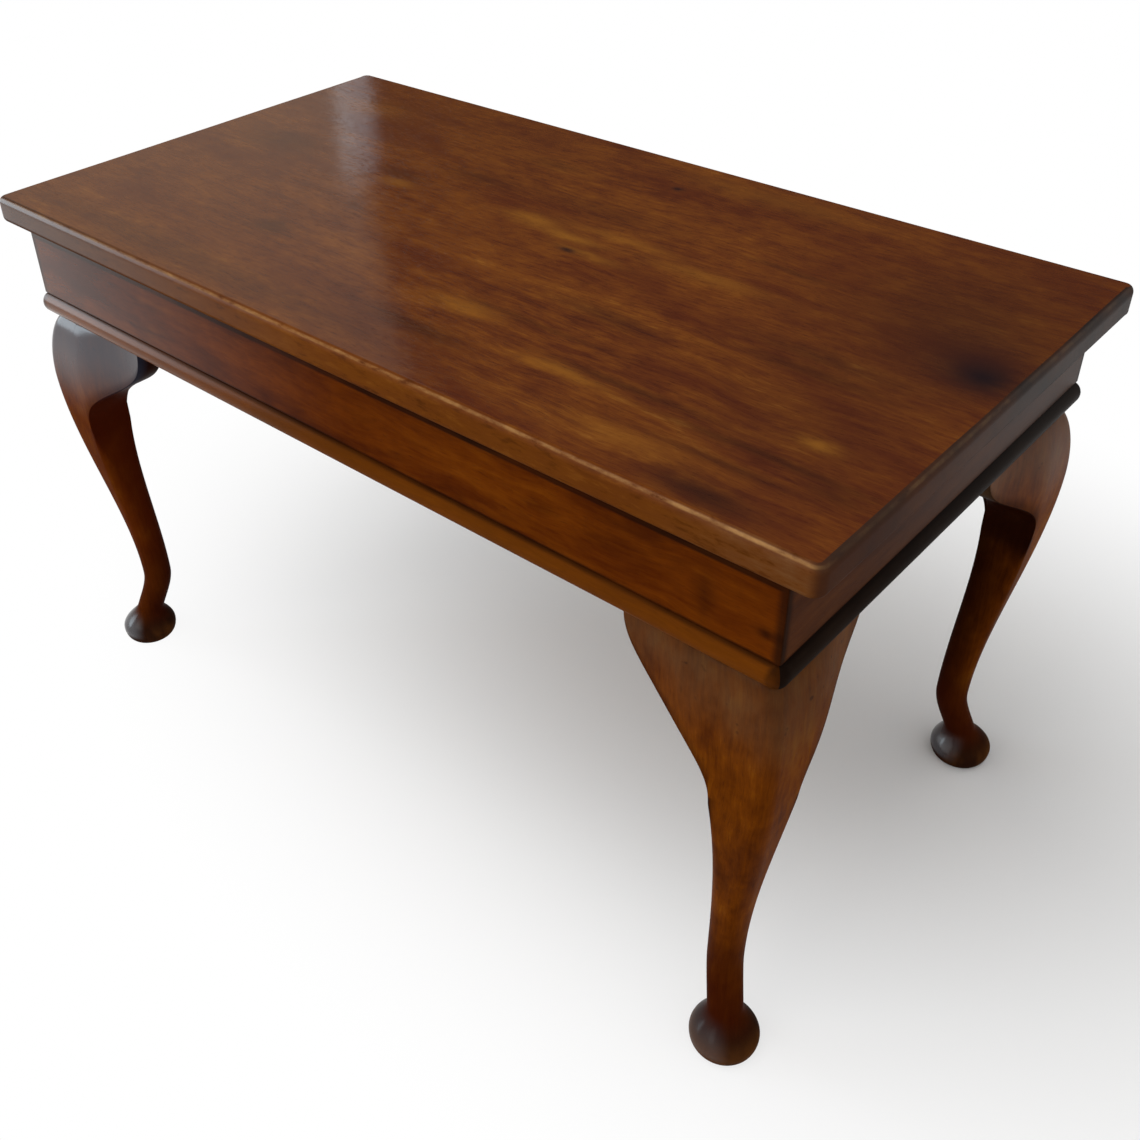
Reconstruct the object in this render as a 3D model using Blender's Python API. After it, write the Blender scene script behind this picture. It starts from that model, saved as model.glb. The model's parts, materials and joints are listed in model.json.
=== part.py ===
"""Storage coffee table: a lift-up lid over a shallow box on four cabriole legs.

Metres, +Z up. +X runs along the length, and the lid is hinged on the +Y side,
where it is flush with the box. The origin is on the floor under the middle of the table.
"""
import math

import bmesh
import bpy

# Overall sizes
LENGTH = 0.835               # lid, end to end
WIDTH = 0.447                # lid, front to back
HEIGHT = 0.500               # floor to the top of the lid
CLEARANCE = 0.0003           # gap between pieces that seat on each other

# Lid
LID_THICKNESS = 0.024
FRONT_OVERHANG = 0.0125      # lid past the front of the box
END_OVERHANG = 0.0245        # lid past the two ends of the box
LID_CORNER = 0.009           # radius of the corners seen from above
LID_TOP_ROUND = 0.0085       # radius of the upper edge
LID_UNDER_ROUND = 0.0065     # radius of the lower edge
LID_BACK_ROUND = 0.0015      # radius of both edges along the hinged back
BATTEN_WIDTH = 0.036
BATTEN_THICKNESS = 0.012
BATTEN_INSET = 0.173         # middle of each batten from the end of the box
BATTEN_SETBACK = 0.025       # batten ends from the inner faces of the box
BATTEN_CHAMFER = 0.008       # slope cut on each batten end

# Box
BOARD_HEIGHT = 0.066
BOARD_THICKNESS = 0.018
PANEL_THICKNESS = 0.006

# Base frame, whose half-round outer edge is the moulding under the box
FRAME_THICKNESS = 0.020
FRAME_WIDTH = 0.062
FRAME_PROUD = 0.005          # moulding past the faces of the box
FRAME_ROUND = 0.010          # depth of the half-round edge

# Cabriole leg, measured from the foot's axis and from its two ends
FOOT_INSET = 0.0165          # foot axis inside the faces of the box
FOOT_RADIUS = 0.0276
SOLE_RADIUS = 0.0216         # flat underside of the pad
PAD_HEIGHT = 0.012           # floor to the widest part of the pad
NECK_RISE = 0.024            # from there up to where the pad has narrowed to the ankle
ANKLE_RISE = 0.047           # from there up to where the shank starts to swell
ANKLE_RADIUS = 0.0140
ANKLE_SETBACK = 0.0143       # ankle axis behind the foot axis
KNEE_DROP = 0.064            # leg top down to the fullest part of the knee
KNEE_REACH = 0.0255          # knee past the foot axis
KNEE_TOP_REACH = 0.0074      # top of the knee past the foot axis
KNEE_ARRIS = 0.0100          # radius of the outer corner at the knee
BLOCK_MARGIN = 0.005         # flat inner faces run on below the ears
BLOCK_SETBACK = 0.020        # flat inner faces behind the foot axis
BLOCK_EDGE = 0.0012          # softened edges of the flat inner faces

# Ears, the brackets that carry the knee's curve along the frame
EAR_LENGTH = 0.085
EAR_HEIGHT = 0.1135
EAR_TIP = 0.007              # upright end of the ear
EAR_THICKNESS = 0.025
EAR_FULLNESS = 0.52          # how far each end of the lower curve runs upright
GLUE_BLOCK_SIDE = 0.014
GLUE_BLOCK_MARGIN = 0.015    # short of the ear at each end

# Hinges
HINGE_INSET = 0.143          # middle of each hinge from the end of the box
HINGE_LENGTH = 0.063
KNUCKLES = 3
LEAF_THICKNESS = 0.0016
PIN_RADIUS = 0.0015
PIN_HEAD = 0.0012            # thickness of the pin's heads
BOX_LEAF_REACH = 0.022       # down the back board
LID_LEAF_MARGIN = 0.003      # lid leaf short of the lid's rounded upper edge

# Facets
CORNER_STEPS = 7             # points on each corner of a leg's section
EDGE_STEPS = 4               # facets on each rounded edge of the lid
NOSE_STEPS = 10              # facets on the half-round edge
CURL_STEPS = 20
PIN_SIDES = 16
EAR_STATIONS = 12
EAR_FACE_STEPS = 7
SMOOTH_ANGLE = math.radians(35)

# Derived sizes
BARREL_BORE = PIN_RADIUS + CLEARANCE
BARREL_RADIUS = BARREL_BORE + LEAF_THICKNESS
PAD_REACH = FOOT_RADIUS * math.cos(math.radians(45.0 / CORNER_STEPS))
BACK_PROUD = max(PAD_REACH - FOOT_INSET, CLEARANCE + 2 * BARREL_RADIUS)
LID_MIDDLE = -BACK_PROUD / 2
LID_BACK = LID_MIDDLE + WIDTH / 2
BOX_X = LENGTH / 2 - END_OVERHANG
BOX_Y = (WIDTH - FRONT_OVERHANG) / 2
BOX_MIDDLE = LID_BACK - BOX_Y
LID_UNDER = HEIGHT - LID_THICKNESS
FRAME_TOP = LID_UNDER - BOARD_HEIGHT
FRAME_BOTTOM = FRAME_TOP - FRAME_THICKNESS
LEG_TOP = FRAME_BOTTOM - CLEARANCE
NECK_HEIGHT = PAD_HEIGHT + NECK_RISE
ANKLE_HEIGHT = NECK_HEIGHT + ANKLE_RISE
KNEE_HEIGHT = LEG_TOP - KNEE_DROP
BLOCK_HEIGHT = LEG_TOP - EAR_HEIGHT - BLOCK_MARGIN
FOOT_X = BOX_X - FOOT_INSET
FOOT_Y = BOX_Y - FOOT_INSET
ANKLE_REACH = ANKLE_RADIUS - ANKLE_SETBACK
EAR_BACK = KNEE_TOP_REACH - EAR_THICKNESS
CURL_TURN = 270.0 + math.degrees(math.asin(1.0 - (LEAF_THICKNESS + CLEARANCE) / BARREL_RADIUS))
LEAF_SEAT = LID_BACK + CLEARANCE
PIVOT_Y = LEAF_SEAT + BARREL_RADIUS
PIVOT_Z = LID_UNDER
LID_LEAF_REACH = LID_THICKNESS - LID_BACK_ROUND - LID_LEAF_MARGIN

# Finishes: colour, roughness, metallic
FINISHES = {
    "lid_mahogany": ((0.130, 0.040, 0.012), 0.30, 0.0),
    "box_mahogany": ((0.105, 0.030, 0.008), 0.34, 0.0),
    "leg_mahogany": ((0.085, 0.026, 0.009), 0.34, 0.0),
    "bare_hardwood": ((0.240, 0.130, 0.060), 0.62, 0.0),
    "panel_board": ((0.330, 0.200, 0.100), 0.66, 0.0),
    "brass": ((0.560, 0.400, 0.150), 0.32, 1.0),
}


def clear_scene():
    """Remove whatever the scene holds."""
    for item in list(bpy.data.objects):
        bpy.data.objects.remove(item, do_unlink=True)


def finish(name):
    """A Principled material for one finish, made once."""
    material = bpy.data.materials.get(name)
    if material is None:
        colour, roughness, metallic = FINISHES[name]
        material = bpy.data.materials.new(name)
        material.use_nodes = True
        shader = material.node_tree.nodes["Principled BSDF"]
        shader.inputs["Base Color"].default_value = (*colour, 1.0)
        shader.inputs["Roughness"].default_value = roughness
        shader.inputs["Metallic"].default_value = metallic
    return material


def add_piece(name, points, faces, finish_name, pivot=None):
    """One closed solid from points and faces, with its faces turned outward."""
    mesh = bpy.data.meshes.new(name)
    shell = bmesh.new()
    corners = [shell.verts.new(point) for point in points]
    for face in faces:
        shell.faces.new([corners[index] for index in face])
    bmesh.ops.recalc_face_normals(shell, faces=shell.faces)
    shell.to_mesh(mesh)
    shell.free()
    mesh.materials.append(finish(finish_name))
    mesh.shade_smooth()
    mesh.set_sharp_from_angle(angle=SMOOTH_ANGLE)
    piece = bpy.data.objects.new(name, mesh)
    bpy.context.collection.objects.link(piece)
    if pivot is not None:
        piece.parent = pivot
        piece.matrix_parent_inverse = pivot.matrix_basis.inverted()
    return piece


def loft(rings):
    """Points and faces of a closed solid that runs through rings of equal length."""
    count = len(rings[0])
    points = [point for ring in rings for point in ring]
    faces = [tuple(range(count))]
    for step in range(len(rings) - 1):
        low, high = step * count, (step + 1) * count
        for index in range(count):
            after = (index + 1) % count
            faces.append((low + index, low + after, high + after, high + index))
    faces.append(tuple(range(len(points) - count, len(points))))
    return points, faces


def ease(share):
    """Smooth step from 0 to 1, level at both ends."""
    share = min(max(share, 0.0), 1.0)
    return share * share * (3.0 - 2.0 * share)


def between(low, high, value):
    """How far a value has gone from low to high."""
    return (value - low) / (high - low)


def arc(centre, radius_a, radius_b, start, turn, steps):
    """Points of an elliptic arc, both ends included, in degrees."""
    angles = [math.radians(start + turn * step / steps) for step in range(steps + 1)]
    return [(centre[0] + radius_a * math.cos(a), centre[1] + radius_b * math.sin(a)) for a in angles]


def lid_ring(edge, into, edge_round, turn):
    """Outline of the lid at one turn of a rounded edge, which shrinks round the two back corners."""
    ring = []
    for quarter, (side_x, side_y) in enumerate(((1, 1), (-1, 1), (-1, -1), (1, -1))):
        centre_x = side_x * (LENGTH / 2 - LID_CORNER)
        centre_y = LID_MIDDLE + side_y * (WIDTH / 2 - LID_CORNER)
        for step in range(EDGE_STEPS + 1):
            angle = math.radians(90.0 * (quarter + step / EDGE_STEPS))
            to_back = max(math.sin(angle), 0.0)
            radius = edge_round + (LID_BACK_ROUND - edge_round) * to_back
            reach = max(LID_CORNER - radius * (1.0 - math.cos(turn)), CLEARANCE)
            z = edge + into * radius * (1.0 - math.sin(turn))
            ring.append((centre_x + reach * math.cos(angle), centre_y + reach * math.sin(angle), z))
    return ring


def add_lid(pivot):
    """Lid panel: its plan outline is carried up a profile with two rounded edges."""
    turns = [math.radians(90.0 * step / EDGE_STEPS) for step in range(EDGE_STEPS + 1)]
    under = [lid_ring(LID_UNDER, 1.0, LID_UNDER_ROUND, turn) for turn in reversed(turns)]
    upper = [lid_ring(HEIGHT, -1.0, LID_TOP_ROUND, turn) for turn in turns]
    add_piece("lid_panel", *loft(under + upper), "lid_mahogany", pivot)


def add_batten(name, middle_x, pivot):
    """Batten across the grain under the lid, with sloped ends."""
    top = LID_UNDER - CLEARANCE
    bottom = top - BATTEN_THICKNESS
    half = BOX_Y - BOARD_THICKNESS - BATTEN_SETBACK
    low_half = half - BATTEN_CHAMFER
    outline = [(-half, top), (half, top), (low_half, bottom), (-low_half, bottom)]
    rings = []
    for side in (-1, 1):
        rings.append([(middle_x + side * BATTEN_WIDTH / 2, BOX_MIDDLE + y, z) for y, z in outline])
    add_piece(name, *loft(rings), "bare_hardwood", pivot)


def add_mitred_side(name, profile, along_x, side, finish_name):
    """One side of the rectangular box or frame, with its ends cut at 45 degrees.

    The profile holds (distance outside the box face, height) pairs.
    """
    rings = []
    for end in (-1, 1):
        ring = []
        for out, z in profile:
            if along_x:
                ring.append((end * (BOX_X + out - CLEARANCE), BOX_MIDDLE + side * (BOX_Y + out), z))
            else:
                ring.append((side * (BOX_X + out), BOX_MIDDLE + end * (BOX_Y + out - CLEARANCE), z))
        rings.append(ring)
    add_piece(name, *loft(rings), finish_name)


def add_four_sides(prefix, profile, finish_name):
    """Front, back, left and right sides with one profile."""
    for place, along_x, side in (("front", True, -1), ("back", True, 1),
                                 ("left", False, -1), ("right", False, 1)):
        add_mitred_side(prefix + place, profile, along_x, side, finish_name)


def board_profile():
    """Plain upright board between the frame and the lid."""
    low, high = FRAME_TOP + CLEARANCE, LID_UNDER - CLEARANCE
    return [(0.0, low), (0.0, high), (-BOARD_THICKNESS, high), (-BOARD_THICKNESS, low)]


def frame_profile():
    """Flat rail with a half-round outer edge."""
    middle = (FRAME_PROUD - FRAME_ROUND, (FRAME_BOTTOM + FRAME_TOP) / 2)
    nose = arc(middle, FRAME_ROUND, FRAME_THICKNESS / 2, -90.0, 180.0, NOSE_STEPS)
    inner = FRAME_PROUD - FRAME_WIDTH
    return nose + [(inner, FRAME_TOP), (inner, FRAME_BOTTOM)]


def add_bottom_panel():
    """Bottom of the box, lying on the frame inside the four boards."""
    half_x = BOX_X - BOARD_THICKNESS - CLEARANCE
    half_y = BOX_Y - BOARD_THICKNESS - CLEARANCE
    front, back = BOX_MIDDLE - half_y, BOX_MIDDLE + half_y
    low = FRAME_TOP + CLEARANCE
    rings = []
    for z in (low, low + PANEL_THICKNESS):
        rings.append([(-half_x, front, z), (half_x, front, z), (half_x, back, z), (-half_x, back, z)])
    add_piece("bottom_panel", *loft(rings), "panel_board")


def outer_face(z):
    """Reach of the two outer faces past the foot axis: an S from ankle to knee, then a round knee."""
    if z < KNEE_HEIGHT:
        share = ease(between(ANKLE_HEIGHT, KNEE_HEIGHT, z))
        return ANKLE_REACH + (KNEE_REACH - ANKLE_REACH) * share
    share = between(KNEE_HEIGHT, LEG_TOP, z)
    return KNEE_TOP_REACH + (KNEE_REACH - KNEE_TOP_REACH) * math.sqrt(max(1.0 - share * share, 0.0))


def inner_face(z):
    """Place of the leg's two inner faces, from the back of the ankle to the flat block."""
    ankle = -ANKLE_SETBACK - ANKLE_RADIUS
    share = ease(between(ANKLE_HEIGHT, BLOCK_HEIGHT, z))
    return ankle + (-BLOCK_SETBACK - ankle) * share


def leg_section(low, high, front_radius, side_radius):
    """Ring of (u, v) points: a square with one front corner and three like side corners."""
    ring = []
    for quarter, (side_u, side_v) in enumerate(((1, 1), (-1, 1), (-1, -1), (1, -1))):
        radius = front_radius if quarter == 0 else side_radius
        centre_u = high - radius if side_u > 0 else low + radius
        centre_v = high - radius if side_v > 0 else low + radius
        for step in range(CORNER_STEPS):
            angle = math.radians(90.0 * (quarter + (step + 0.5) / CORNER_STEPS))
            ring.append((centre_u + radius * math.cos(angle), centre_v + radius * math.sin(angle)))
    return ring


def round_section(z):
    """Section of the pad foot and ankle: a circle that narrows and steps back."""
    if z < PAD_HEIGHT:
        share = between(0.0, PAD_HEIGHT, z)
        radius = SOLE_RADIUS + (FOOT_RADIUS - SOLE_RADIUS) * math.sqrt(1.0 - (1.0 - share) ** 2)
    else:
        radius = FOOT_RADIUS + (ANKLE_RADIUS - FOOT_RADIUS) * ease(between(PAD_HEIGHT, NECK_HEIGHT, z))
    centre = -ANKLE_SETBACK * ease(between(PAD_HEIGHT, ANKLE_HEIGHT, z))
    return leg_section(centre - radius, centre + radius, radius, radius)


def square_section(z):
    """Section from ankle to knee: round at the ankle, square with a soft front arris at the knee."""
    low, high = inner_face(z), outer_face(z)
    half = (high - low) / 2
    to_knee = min(between(ANKLE_HEIGHT, KNEE_HEIGHT, z), 1.0)
    to_block = min(between(ANKLE_HEIGHT, BLOCK_HEIGHT, z), 1.0)
    front = half + (KNEE_ARRIS - half) * to_knee
    side = half + (BLOCK_EDGE - half) * to_block
    return leg_section(low, high, front, side)


def steps_between(low, high, count):
    """Heights from low up to, but not including, high."""
    return [low + (high - low) * step / count for step in range(count)]


def leg_rings():
    """Sections of one leg from the sole to the top, in (u, v, z), outward from the foot axis."""
    rings = []
    sole = [PAD_HEIGHT * (1.0 - math.cos(math.radians(angle))) for angle in (0, 35, 65)]
    foot = sole + steps_between(PAD_HEIGHT, NECK_HEIGHT, 7) + steps_between(NECK_HEIGHT, ANKLE_HEIGHT, 2)
    for z in foot:
        rings.append([(u, v, z) for u, v in round_section(z)])
    shank = steps_between(ANKLE_HEIGHT, BLOCK_HEIGHT, 8) + steps_between(BLOCK_HEIGHT, KNEE_HEIGHT, 2)
    knee = [KNEE_HEIGHT + KNEE_DROP * math.sin(math.radians(angle)) for angle in (0, 25, 48, 68, 90)]
    for z in sorted(shank + knee):
        rings.append([(u, v, z) for u, v in square_section(z)])
    return rings


def ear_face(share, z):
    """Reach of an ear's face: the knee's top at the tip, running smoothly into the knee at the leg."""
    return KNEE_TOP_REACH + (outer_face(z) - KNEE_TOP_REACH) * ease(share)


def ear_drop(share):
    """Height of an ear, from its tip to the leg: a curve that runs upright at both ends."""
    spread = EAR_FULLNESS * (EAR_HEIGHT - EAR_TIP)
    drops = (EAR_TIP, EAR_TIP + spread, EAR_HEIGHT - spread, EAR_HEIGHT)
    rest = 1.0 - share
    weights = (rest ** 3, 3 * rest * rest * share, 3 * rest * share * share, share ** 3)
    return sum(weight * value for weight, value in zip(weights, drops))


def ear_rings():
    """Upright sections of one ear from its tip to the leg, in (along, out, z)."""
    rings = []
    for station in range(EAR_STATIONS + 1):
        drop = ear_drop(station / EAR_STATIONS)
        share = ease(station / EAR_STATIONS)
        along = -BLOCK_SETBACK - CLEARANCE - EAR_LENGTH * (1.0 - share)
        heights = [LEG_TOP - drop * step / EAR_FACE_STEPS for step in range(EAR_FACE_STEPS + 1)]
        ring = [(along, ear_face(share, z), z) for z in heights]
        ring += [(along, EAR_BACK, heights[-1]), (along, EAR_BACK, heights[0])]
        rings.append(ring)
    return rings


def glue_block_rings():
    """Ends of one three-sided glue block, in the corner between an ear's back and the frame."""
    root = -BLOCK_SETBACK - CLEARANCE
    back = EAR_BACK - CLEARANCE
    rings = []
    for along in (root - GLUE_BLOCK_MARGIN, root - EAR_LENGTH + GLUE_BLOCK_MARGIN):
        rings.append([(along, back, LEG_TOP), (along, back - GLUE_BLOCK_SIDE, LEG_TOP),
                      (along, back, LEG_TOP - GLUE_BLOCK_SIDE)])
    return rings


def place(rings, side_x, side_y, swap=False):
    """Move rings from a leg's own outward axes to the table, swapping them for a piece along Y."""
    placed = []
    for ring in rings:
        moved = []
        for u, v, z in ring:
            if swap:
                u, v = v, u
            moved.append((side_x * (FOOT_X + u), BOX_MIDDLE + side_y * (FOOT_Y + v), z))
        placed.append(moved)
    return placed


def add_leg(corner, side_x, side_y):
    """One leg with its two ears and their glue blocks."""
    add_piece("leg_" + corner, *loft(place(leg_rings(), side_x, side_y)), "leg_mahogany")
    for swap, way in ((False, "long"), (True, "end")):
        ear = place(ear_rings(), side_x, side_y, swap)
        add_piece("ear_" + corner + "_" + way, *loft(ear), "leg_mahogany")
        block = place(glue_block_rings(), side_x, side_y, swap)
        add_piece("glue_block_" + corner + "_" + way, *loft(block), "bare_hardwood")


def leaf_profile(reach):
    """Flat leaf rolled into a knuckle, as (along the leaf, off its seat), with the pin at (0, radius)."""
    outer = arc((0.0, BARREL_RADIUS), BARREL_RADIUS, BARREL_RADIUS, -90.0, -CURL_TURN, CURL_STEPS)
    inner = arc((0.0, BARREL_RADIUS), BARREL_BORE, BARREL_BORE, -90.0 - CURL_TURN, CURL_TURN, CURL_STEPS)
    return [(reach, 0.0)] + outer + inner + [(reach, LEAF_THICKNESS)]


def add_cutter(name, middle_x, length, pivot):
    """Hidden block round the hinge axis that clears the room of another leaf's knuckle."""
    room = BARREL_RADIUS + CLEARANCE
    front, back = PIVOT_Y - room, PIVOT_Y + room
    low, high = PIVOT_Z - room, PIVOT_Z + room
    rings = []
    for end in (-1, 1):
        x = middle_x + end * (length / 2 + CLEARANCE)
        rings.append([(x, front, low), (x, back, low), (x, back, high), (x, front, high)])
    cutter = add_piece(name, *loft(rings), "brass", pivot)
    cutter.hide_render = True
    cutter.display_type = "WIRE"
    return cutter


def add_leaf(name, middle_x, reach, way, cut_knuckles, pivot=None):
    """One hinge leaf: down the back board or up the lid's back edge, less the other leaf's knuckles."""
    rings = []
    for end in (-1, 1):
        x = middle_x + end * HINGE_LENGTH / 2
        rings.append([(x, LEAF_SEAT + off, PIVOT_Z + way * along) for along, off in leaf_profile(reach)])
    leaf = add_piece(name, *loft(rings), "brass", pivot)
    knuckle = HINGE_LENGTH / KNUCKLES
    for index in cut_knuckles:
        middle = middle_x + (index + 0.5) * knuckle - HINGE_LENGTH / 2
        cut = leaf.modifiers.new("knuckle_room", "BOOLEAN")
        cut.operation = "DIFFERENCE"
        cut.object = add_cutter(name + "_room_" + str(index), middle, knuckle, pivot)


def add_pin(name, middle_x):
    """Hinge pin with a flat head at each end, turned about the hinge axis."""
    half = HINGE_LENGTH / 2 + CLEARANCE
    head = BARREL_RADIUS - CLEARANCE
    profile = [(-half - PIN_HEAD, head), (-half, head), (-half, PIN_RADIUS),
               (half, PIN_RADIUS), (half, head), (half + PIN_HEAD, head)]
    rings = []
    for x, radius in profile:
        turned = arc((PIVOT_Y, PIVOT_Z), radius, radius, 0.0, 360.0, PIN_SIDES)[:-1]
        rings.append([(middle_x + x, y, z) for y, z in turned])
    add_piece(name, *loft(rings), "brass")


def add_hinges(pivot):
    """Two hinges on the back: odd knuckles belong to the lid, even ones to the box."""
    lid_knuckles = range(1, KNUCKLES, 2)
    box_knuckles = range(0, KNUCKLES, 2)
    for word, side in (("left", -1), ("right", 1)):
        middle = side * (BOX_X - HINGE_INSET)
        add_leaf("hinge_box_leaf_" + word, middle, BOX_LEAF_REACH, -1, lid_knuckles)
        add_leaf("hinge_lid_leaf_" + word, middle, LID_LEAF_REACH, 1, box_knuckles, pivot)
        add_pin("hinge_pin_" + word, middle)


def build_table():
    """Every piece of the table, with the lid's pieces carried by an empty on the hinge axis."""
    clear_scene()
    pivot = bpy.data.objects.new("lid_pivot", None)
    bpy.context.collection.objects.link(pivot)
    pivot.location = (0.0, PIVOT_Y, PIVOT_Z)

    add_lid(pivot)
    add_batten("lid_batten_left", BATTEN_INSET - BOX_X, pivot)
    add_batten("lid_batten_right", BOX_X - BATTEN_INSET, pivot)
    add_hinges(pivot)
    add_four_sides("box_", board_profile(), "box_mahogany")
    add_bottom_panel()
    add_four_sides("frame_", frame_profile(), "box_mahogany")
    for corner, side_x, side_y in (("front_left", -1, -1), ("front_right", 1, -1),
                                   ("back_left", -1, 1), ("back_right", 1, 1)):
        add_leg(corner, side_x, side_y)


build_table()
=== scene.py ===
# %% [markdown]
# # A storage coffee table in polished mahogany
#
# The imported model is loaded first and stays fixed: it holds the sizes, the joints and the bodies.
# Every cell below then dresses one piece of it with a smooth surface, or makes one finish.
# The box that the model fills is kept, so that the last cell can show that nothing has grown.

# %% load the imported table
import json
import math
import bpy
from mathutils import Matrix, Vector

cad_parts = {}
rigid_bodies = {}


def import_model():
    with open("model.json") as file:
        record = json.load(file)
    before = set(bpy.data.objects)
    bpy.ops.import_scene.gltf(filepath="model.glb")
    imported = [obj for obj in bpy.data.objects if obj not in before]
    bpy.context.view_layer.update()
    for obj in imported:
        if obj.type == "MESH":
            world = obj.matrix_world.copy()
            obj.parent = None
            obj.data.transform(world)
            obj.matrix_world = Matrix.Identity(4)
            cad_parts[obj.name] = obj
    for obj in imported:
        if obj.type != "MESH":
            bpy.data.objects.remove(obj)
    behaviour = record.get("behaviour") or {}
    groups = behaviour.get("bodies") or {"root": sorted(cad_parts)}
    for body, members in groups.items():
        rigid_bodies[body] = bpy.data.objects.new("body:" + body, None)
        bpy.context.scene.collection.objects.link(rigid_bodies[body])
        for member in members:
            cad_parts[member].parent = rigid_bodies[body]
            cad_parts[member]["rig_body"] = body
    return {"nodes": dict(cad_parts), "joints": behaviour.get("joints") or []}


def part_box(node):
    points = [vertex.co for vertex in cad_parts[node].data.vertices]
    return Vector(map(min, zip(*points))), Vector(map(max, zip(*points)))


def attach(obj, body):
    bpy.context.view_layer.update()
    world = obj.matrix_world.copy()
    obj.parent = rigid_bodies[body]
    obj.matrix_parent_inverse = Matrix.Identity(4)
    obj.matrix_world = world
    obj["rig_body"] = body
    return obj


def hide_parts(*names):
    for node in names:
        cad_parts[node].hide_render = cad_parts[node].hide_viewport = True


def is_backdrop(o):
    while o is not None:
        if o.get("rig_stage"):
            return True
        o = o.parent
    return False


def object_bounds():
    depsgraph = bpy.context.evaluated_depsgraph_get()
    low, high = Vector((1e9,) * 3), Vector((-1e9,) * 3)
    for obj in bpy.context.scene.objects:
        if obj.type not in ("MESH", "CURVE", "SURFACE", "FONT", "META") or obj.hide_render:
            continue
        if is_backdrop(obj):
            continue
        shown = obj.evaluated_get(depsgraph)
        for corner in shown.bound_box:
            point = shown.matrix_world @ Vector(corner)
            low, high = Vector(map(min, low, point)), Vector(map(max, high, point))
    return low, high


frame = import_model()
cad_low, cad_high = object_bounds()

from types import SimpleNamespace

import bpy
import numpy as np
from mathutils import Matrix

print("box of the model:", [round(side, 4) for side in cad_high - cad_low])

# %% [markdown]
# ## Camera
#
# The photograph was taken by hand, so its camera is a little turned and its middle is off the lens axis.
# Three angles turn the camera, a focal length in pixels gives the lens, and the place of the lens axis in
# the picture gives the shift. The angles could be set as Euler turns. Building the three axes by cross
# products is clearer here, because heading, tilt and roll then stay separate.

# %% camera at the photograph's angle
PICTURE = 1140.0                       # pixels on a side
FOCAL = 1294.0                         # focal length in pixels
LENS_AXIS = (518.5, 498.2)             # where the lens axis meets the picture, in pixels from its upper left
CAMERA_PLACE = (0.6596, -0.7324, 0.9280)
HEADING = -42.339                      # degrees from +Y towards +X
TILT = 34.990                          # degrees down
ROLL = -1.421                          # degrees
SENSOR = 36.0                          # millimetres
UPRIGHT = (0.0, 0.0, 1.0)


def unit(way):
    """Direction, or an array of them, made one unit long."""
    return way / np.linalg.norm(way, axis=-1, keepdims=True)


def camera_axes(heading, tilt, roll):
    """Right, up and backward: forward is set by heading and tilt, the others are square to it and rolled."""
    flat = math.cos(tilt)
    forward = np.array([math.sin(heading) * flat, math.cos(heading) * flat, -math.sin(tilt)])
    level = unit(np.cross(forward, UPRIGHT))
    top = np.cross(level, forward)
    right = math.cos(roll) * level + math.sin(roll) * top
    up = math.cos(roll) * top - math.sin(roll) * level
    return right, up, -forward


def stand(name, data, place, axes):
    """Camera or lamp as an object at a place, with its own x, y and z turned to three directions."""
    thing = bpy.data.objects.new(name, data)
    thing.matrix_world = Matrix.Translation(place) @ Matrix(np.stack(axes, 1)).to_4x4()
    bpy.context.scene.collection.objects.link(thing)
    return thing


lens = bpy.data.cameras.new("photograph_camera")
lens.sensor_width = SENSOR
lens.lens = FOCAL * SENSOR / PICTURE
lens.shift_x = 0.5 - LENS_AXIS[0] / PICTURE
lens.shift_y = LENS_AXIS[1] / PICTURE - 0.5
turned = camera_axes(*np.radians([HEADING, TILT, ROLL]))
bpy.context.scene.camera = stand("photograph_camera", lens, CAMERA_PLACE, turned)
print("lens:", round(lens.lens, 2), "mm, shift:", round(lens.shift_x, 4), round(lens.shift_y, 4))

# %% [markdown]
# ## Skins
#
# Nearly every piece of a table is a section carried along a line: an outline up the edge of the lid, a
# moulding along a rail, a round along a leg. So one function makes them all. It takes a stack of rings as
# one array, joins each ring to the next and closes both ends. A ring's points are worked out as whole
# arrays, which is quick and keeps the formula in sight.

# %% skins
SMOOTH_ANGLE = math.radians(32)        # edges sharper than this stay crisp


def mesh_piece(name, points, faces):
    """Object with a mesh of its own, linked into the scene."""
    mesh = bpy.data.meshes.new(name)
    mesh.from_pydata(points.tolist(), [], faces)
    piece = bpy.data.objects.new(name, mesh)
    bpy.context.scene.collection.objects.link(piece)
    return piece


def shade_smooth(piece):
    """Smooth shading everywhere but across crisp edges."""
    mesh = piece.data
    mesh.polygons.foreach_set("use_smooth", np.ones(len(mesh.polygons), bool))
    mesh.set_sharp_from_angle(angle=SMOOTH_ANGLE)


def ring_quads(index):
    """Four-sided faces from each ring of point numbers to the next."""
    low, high = index[:-1], index[1:]
    return np.stack([low, np.roll(low, -1, 1), np.roll(high, -1, 1), high], -1).reshape(-1, 4)


def triangles_volume(points, faces):
    """Signed volume: a sixth of the sum of each triangle's corner triple product."""
    a, b, c = (points[faces[:, corner]] for corner in range(3))
    return np.einsum("ij,ij->", a, np.cross(b, c)) / 6.0


def skin(name, rings):
    """Closed skin over a stack of rings: quads from ring i to ring i + 1, and one flat face on each end.

    A negative signed volume means that the faces point inwards, and then all of them are turned round.
    """
    rings = np.asarray(rings, float)
    points = rings.reshape(-1, 3)
    index = np.arange(len(points)).reshape(rings.shape[:2])
    quads = ring_quads(index)
    fan = np.stack([np.broadcast_to(index[:, :1], index[:, 2:].shape), index[:, 1:-1], index[:, 2:]], -1)
    sheets = np.concatenate([quads[:, :3], quads[:, [0, 2, 3]], fan[0][:, ::-1], fan[-1]])
    turn = -1 if triangles_volume(points - points.mean(0), sheets) < 0 else 1
    ends = [index[0, ::-turn].tolist(), index[-1, ::turn].tolist()]
    piece = mesh_piece(name, points, quads[:, ::turn].tolist() + ends)
    shade_smooth(piece)
    return piece


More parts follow.
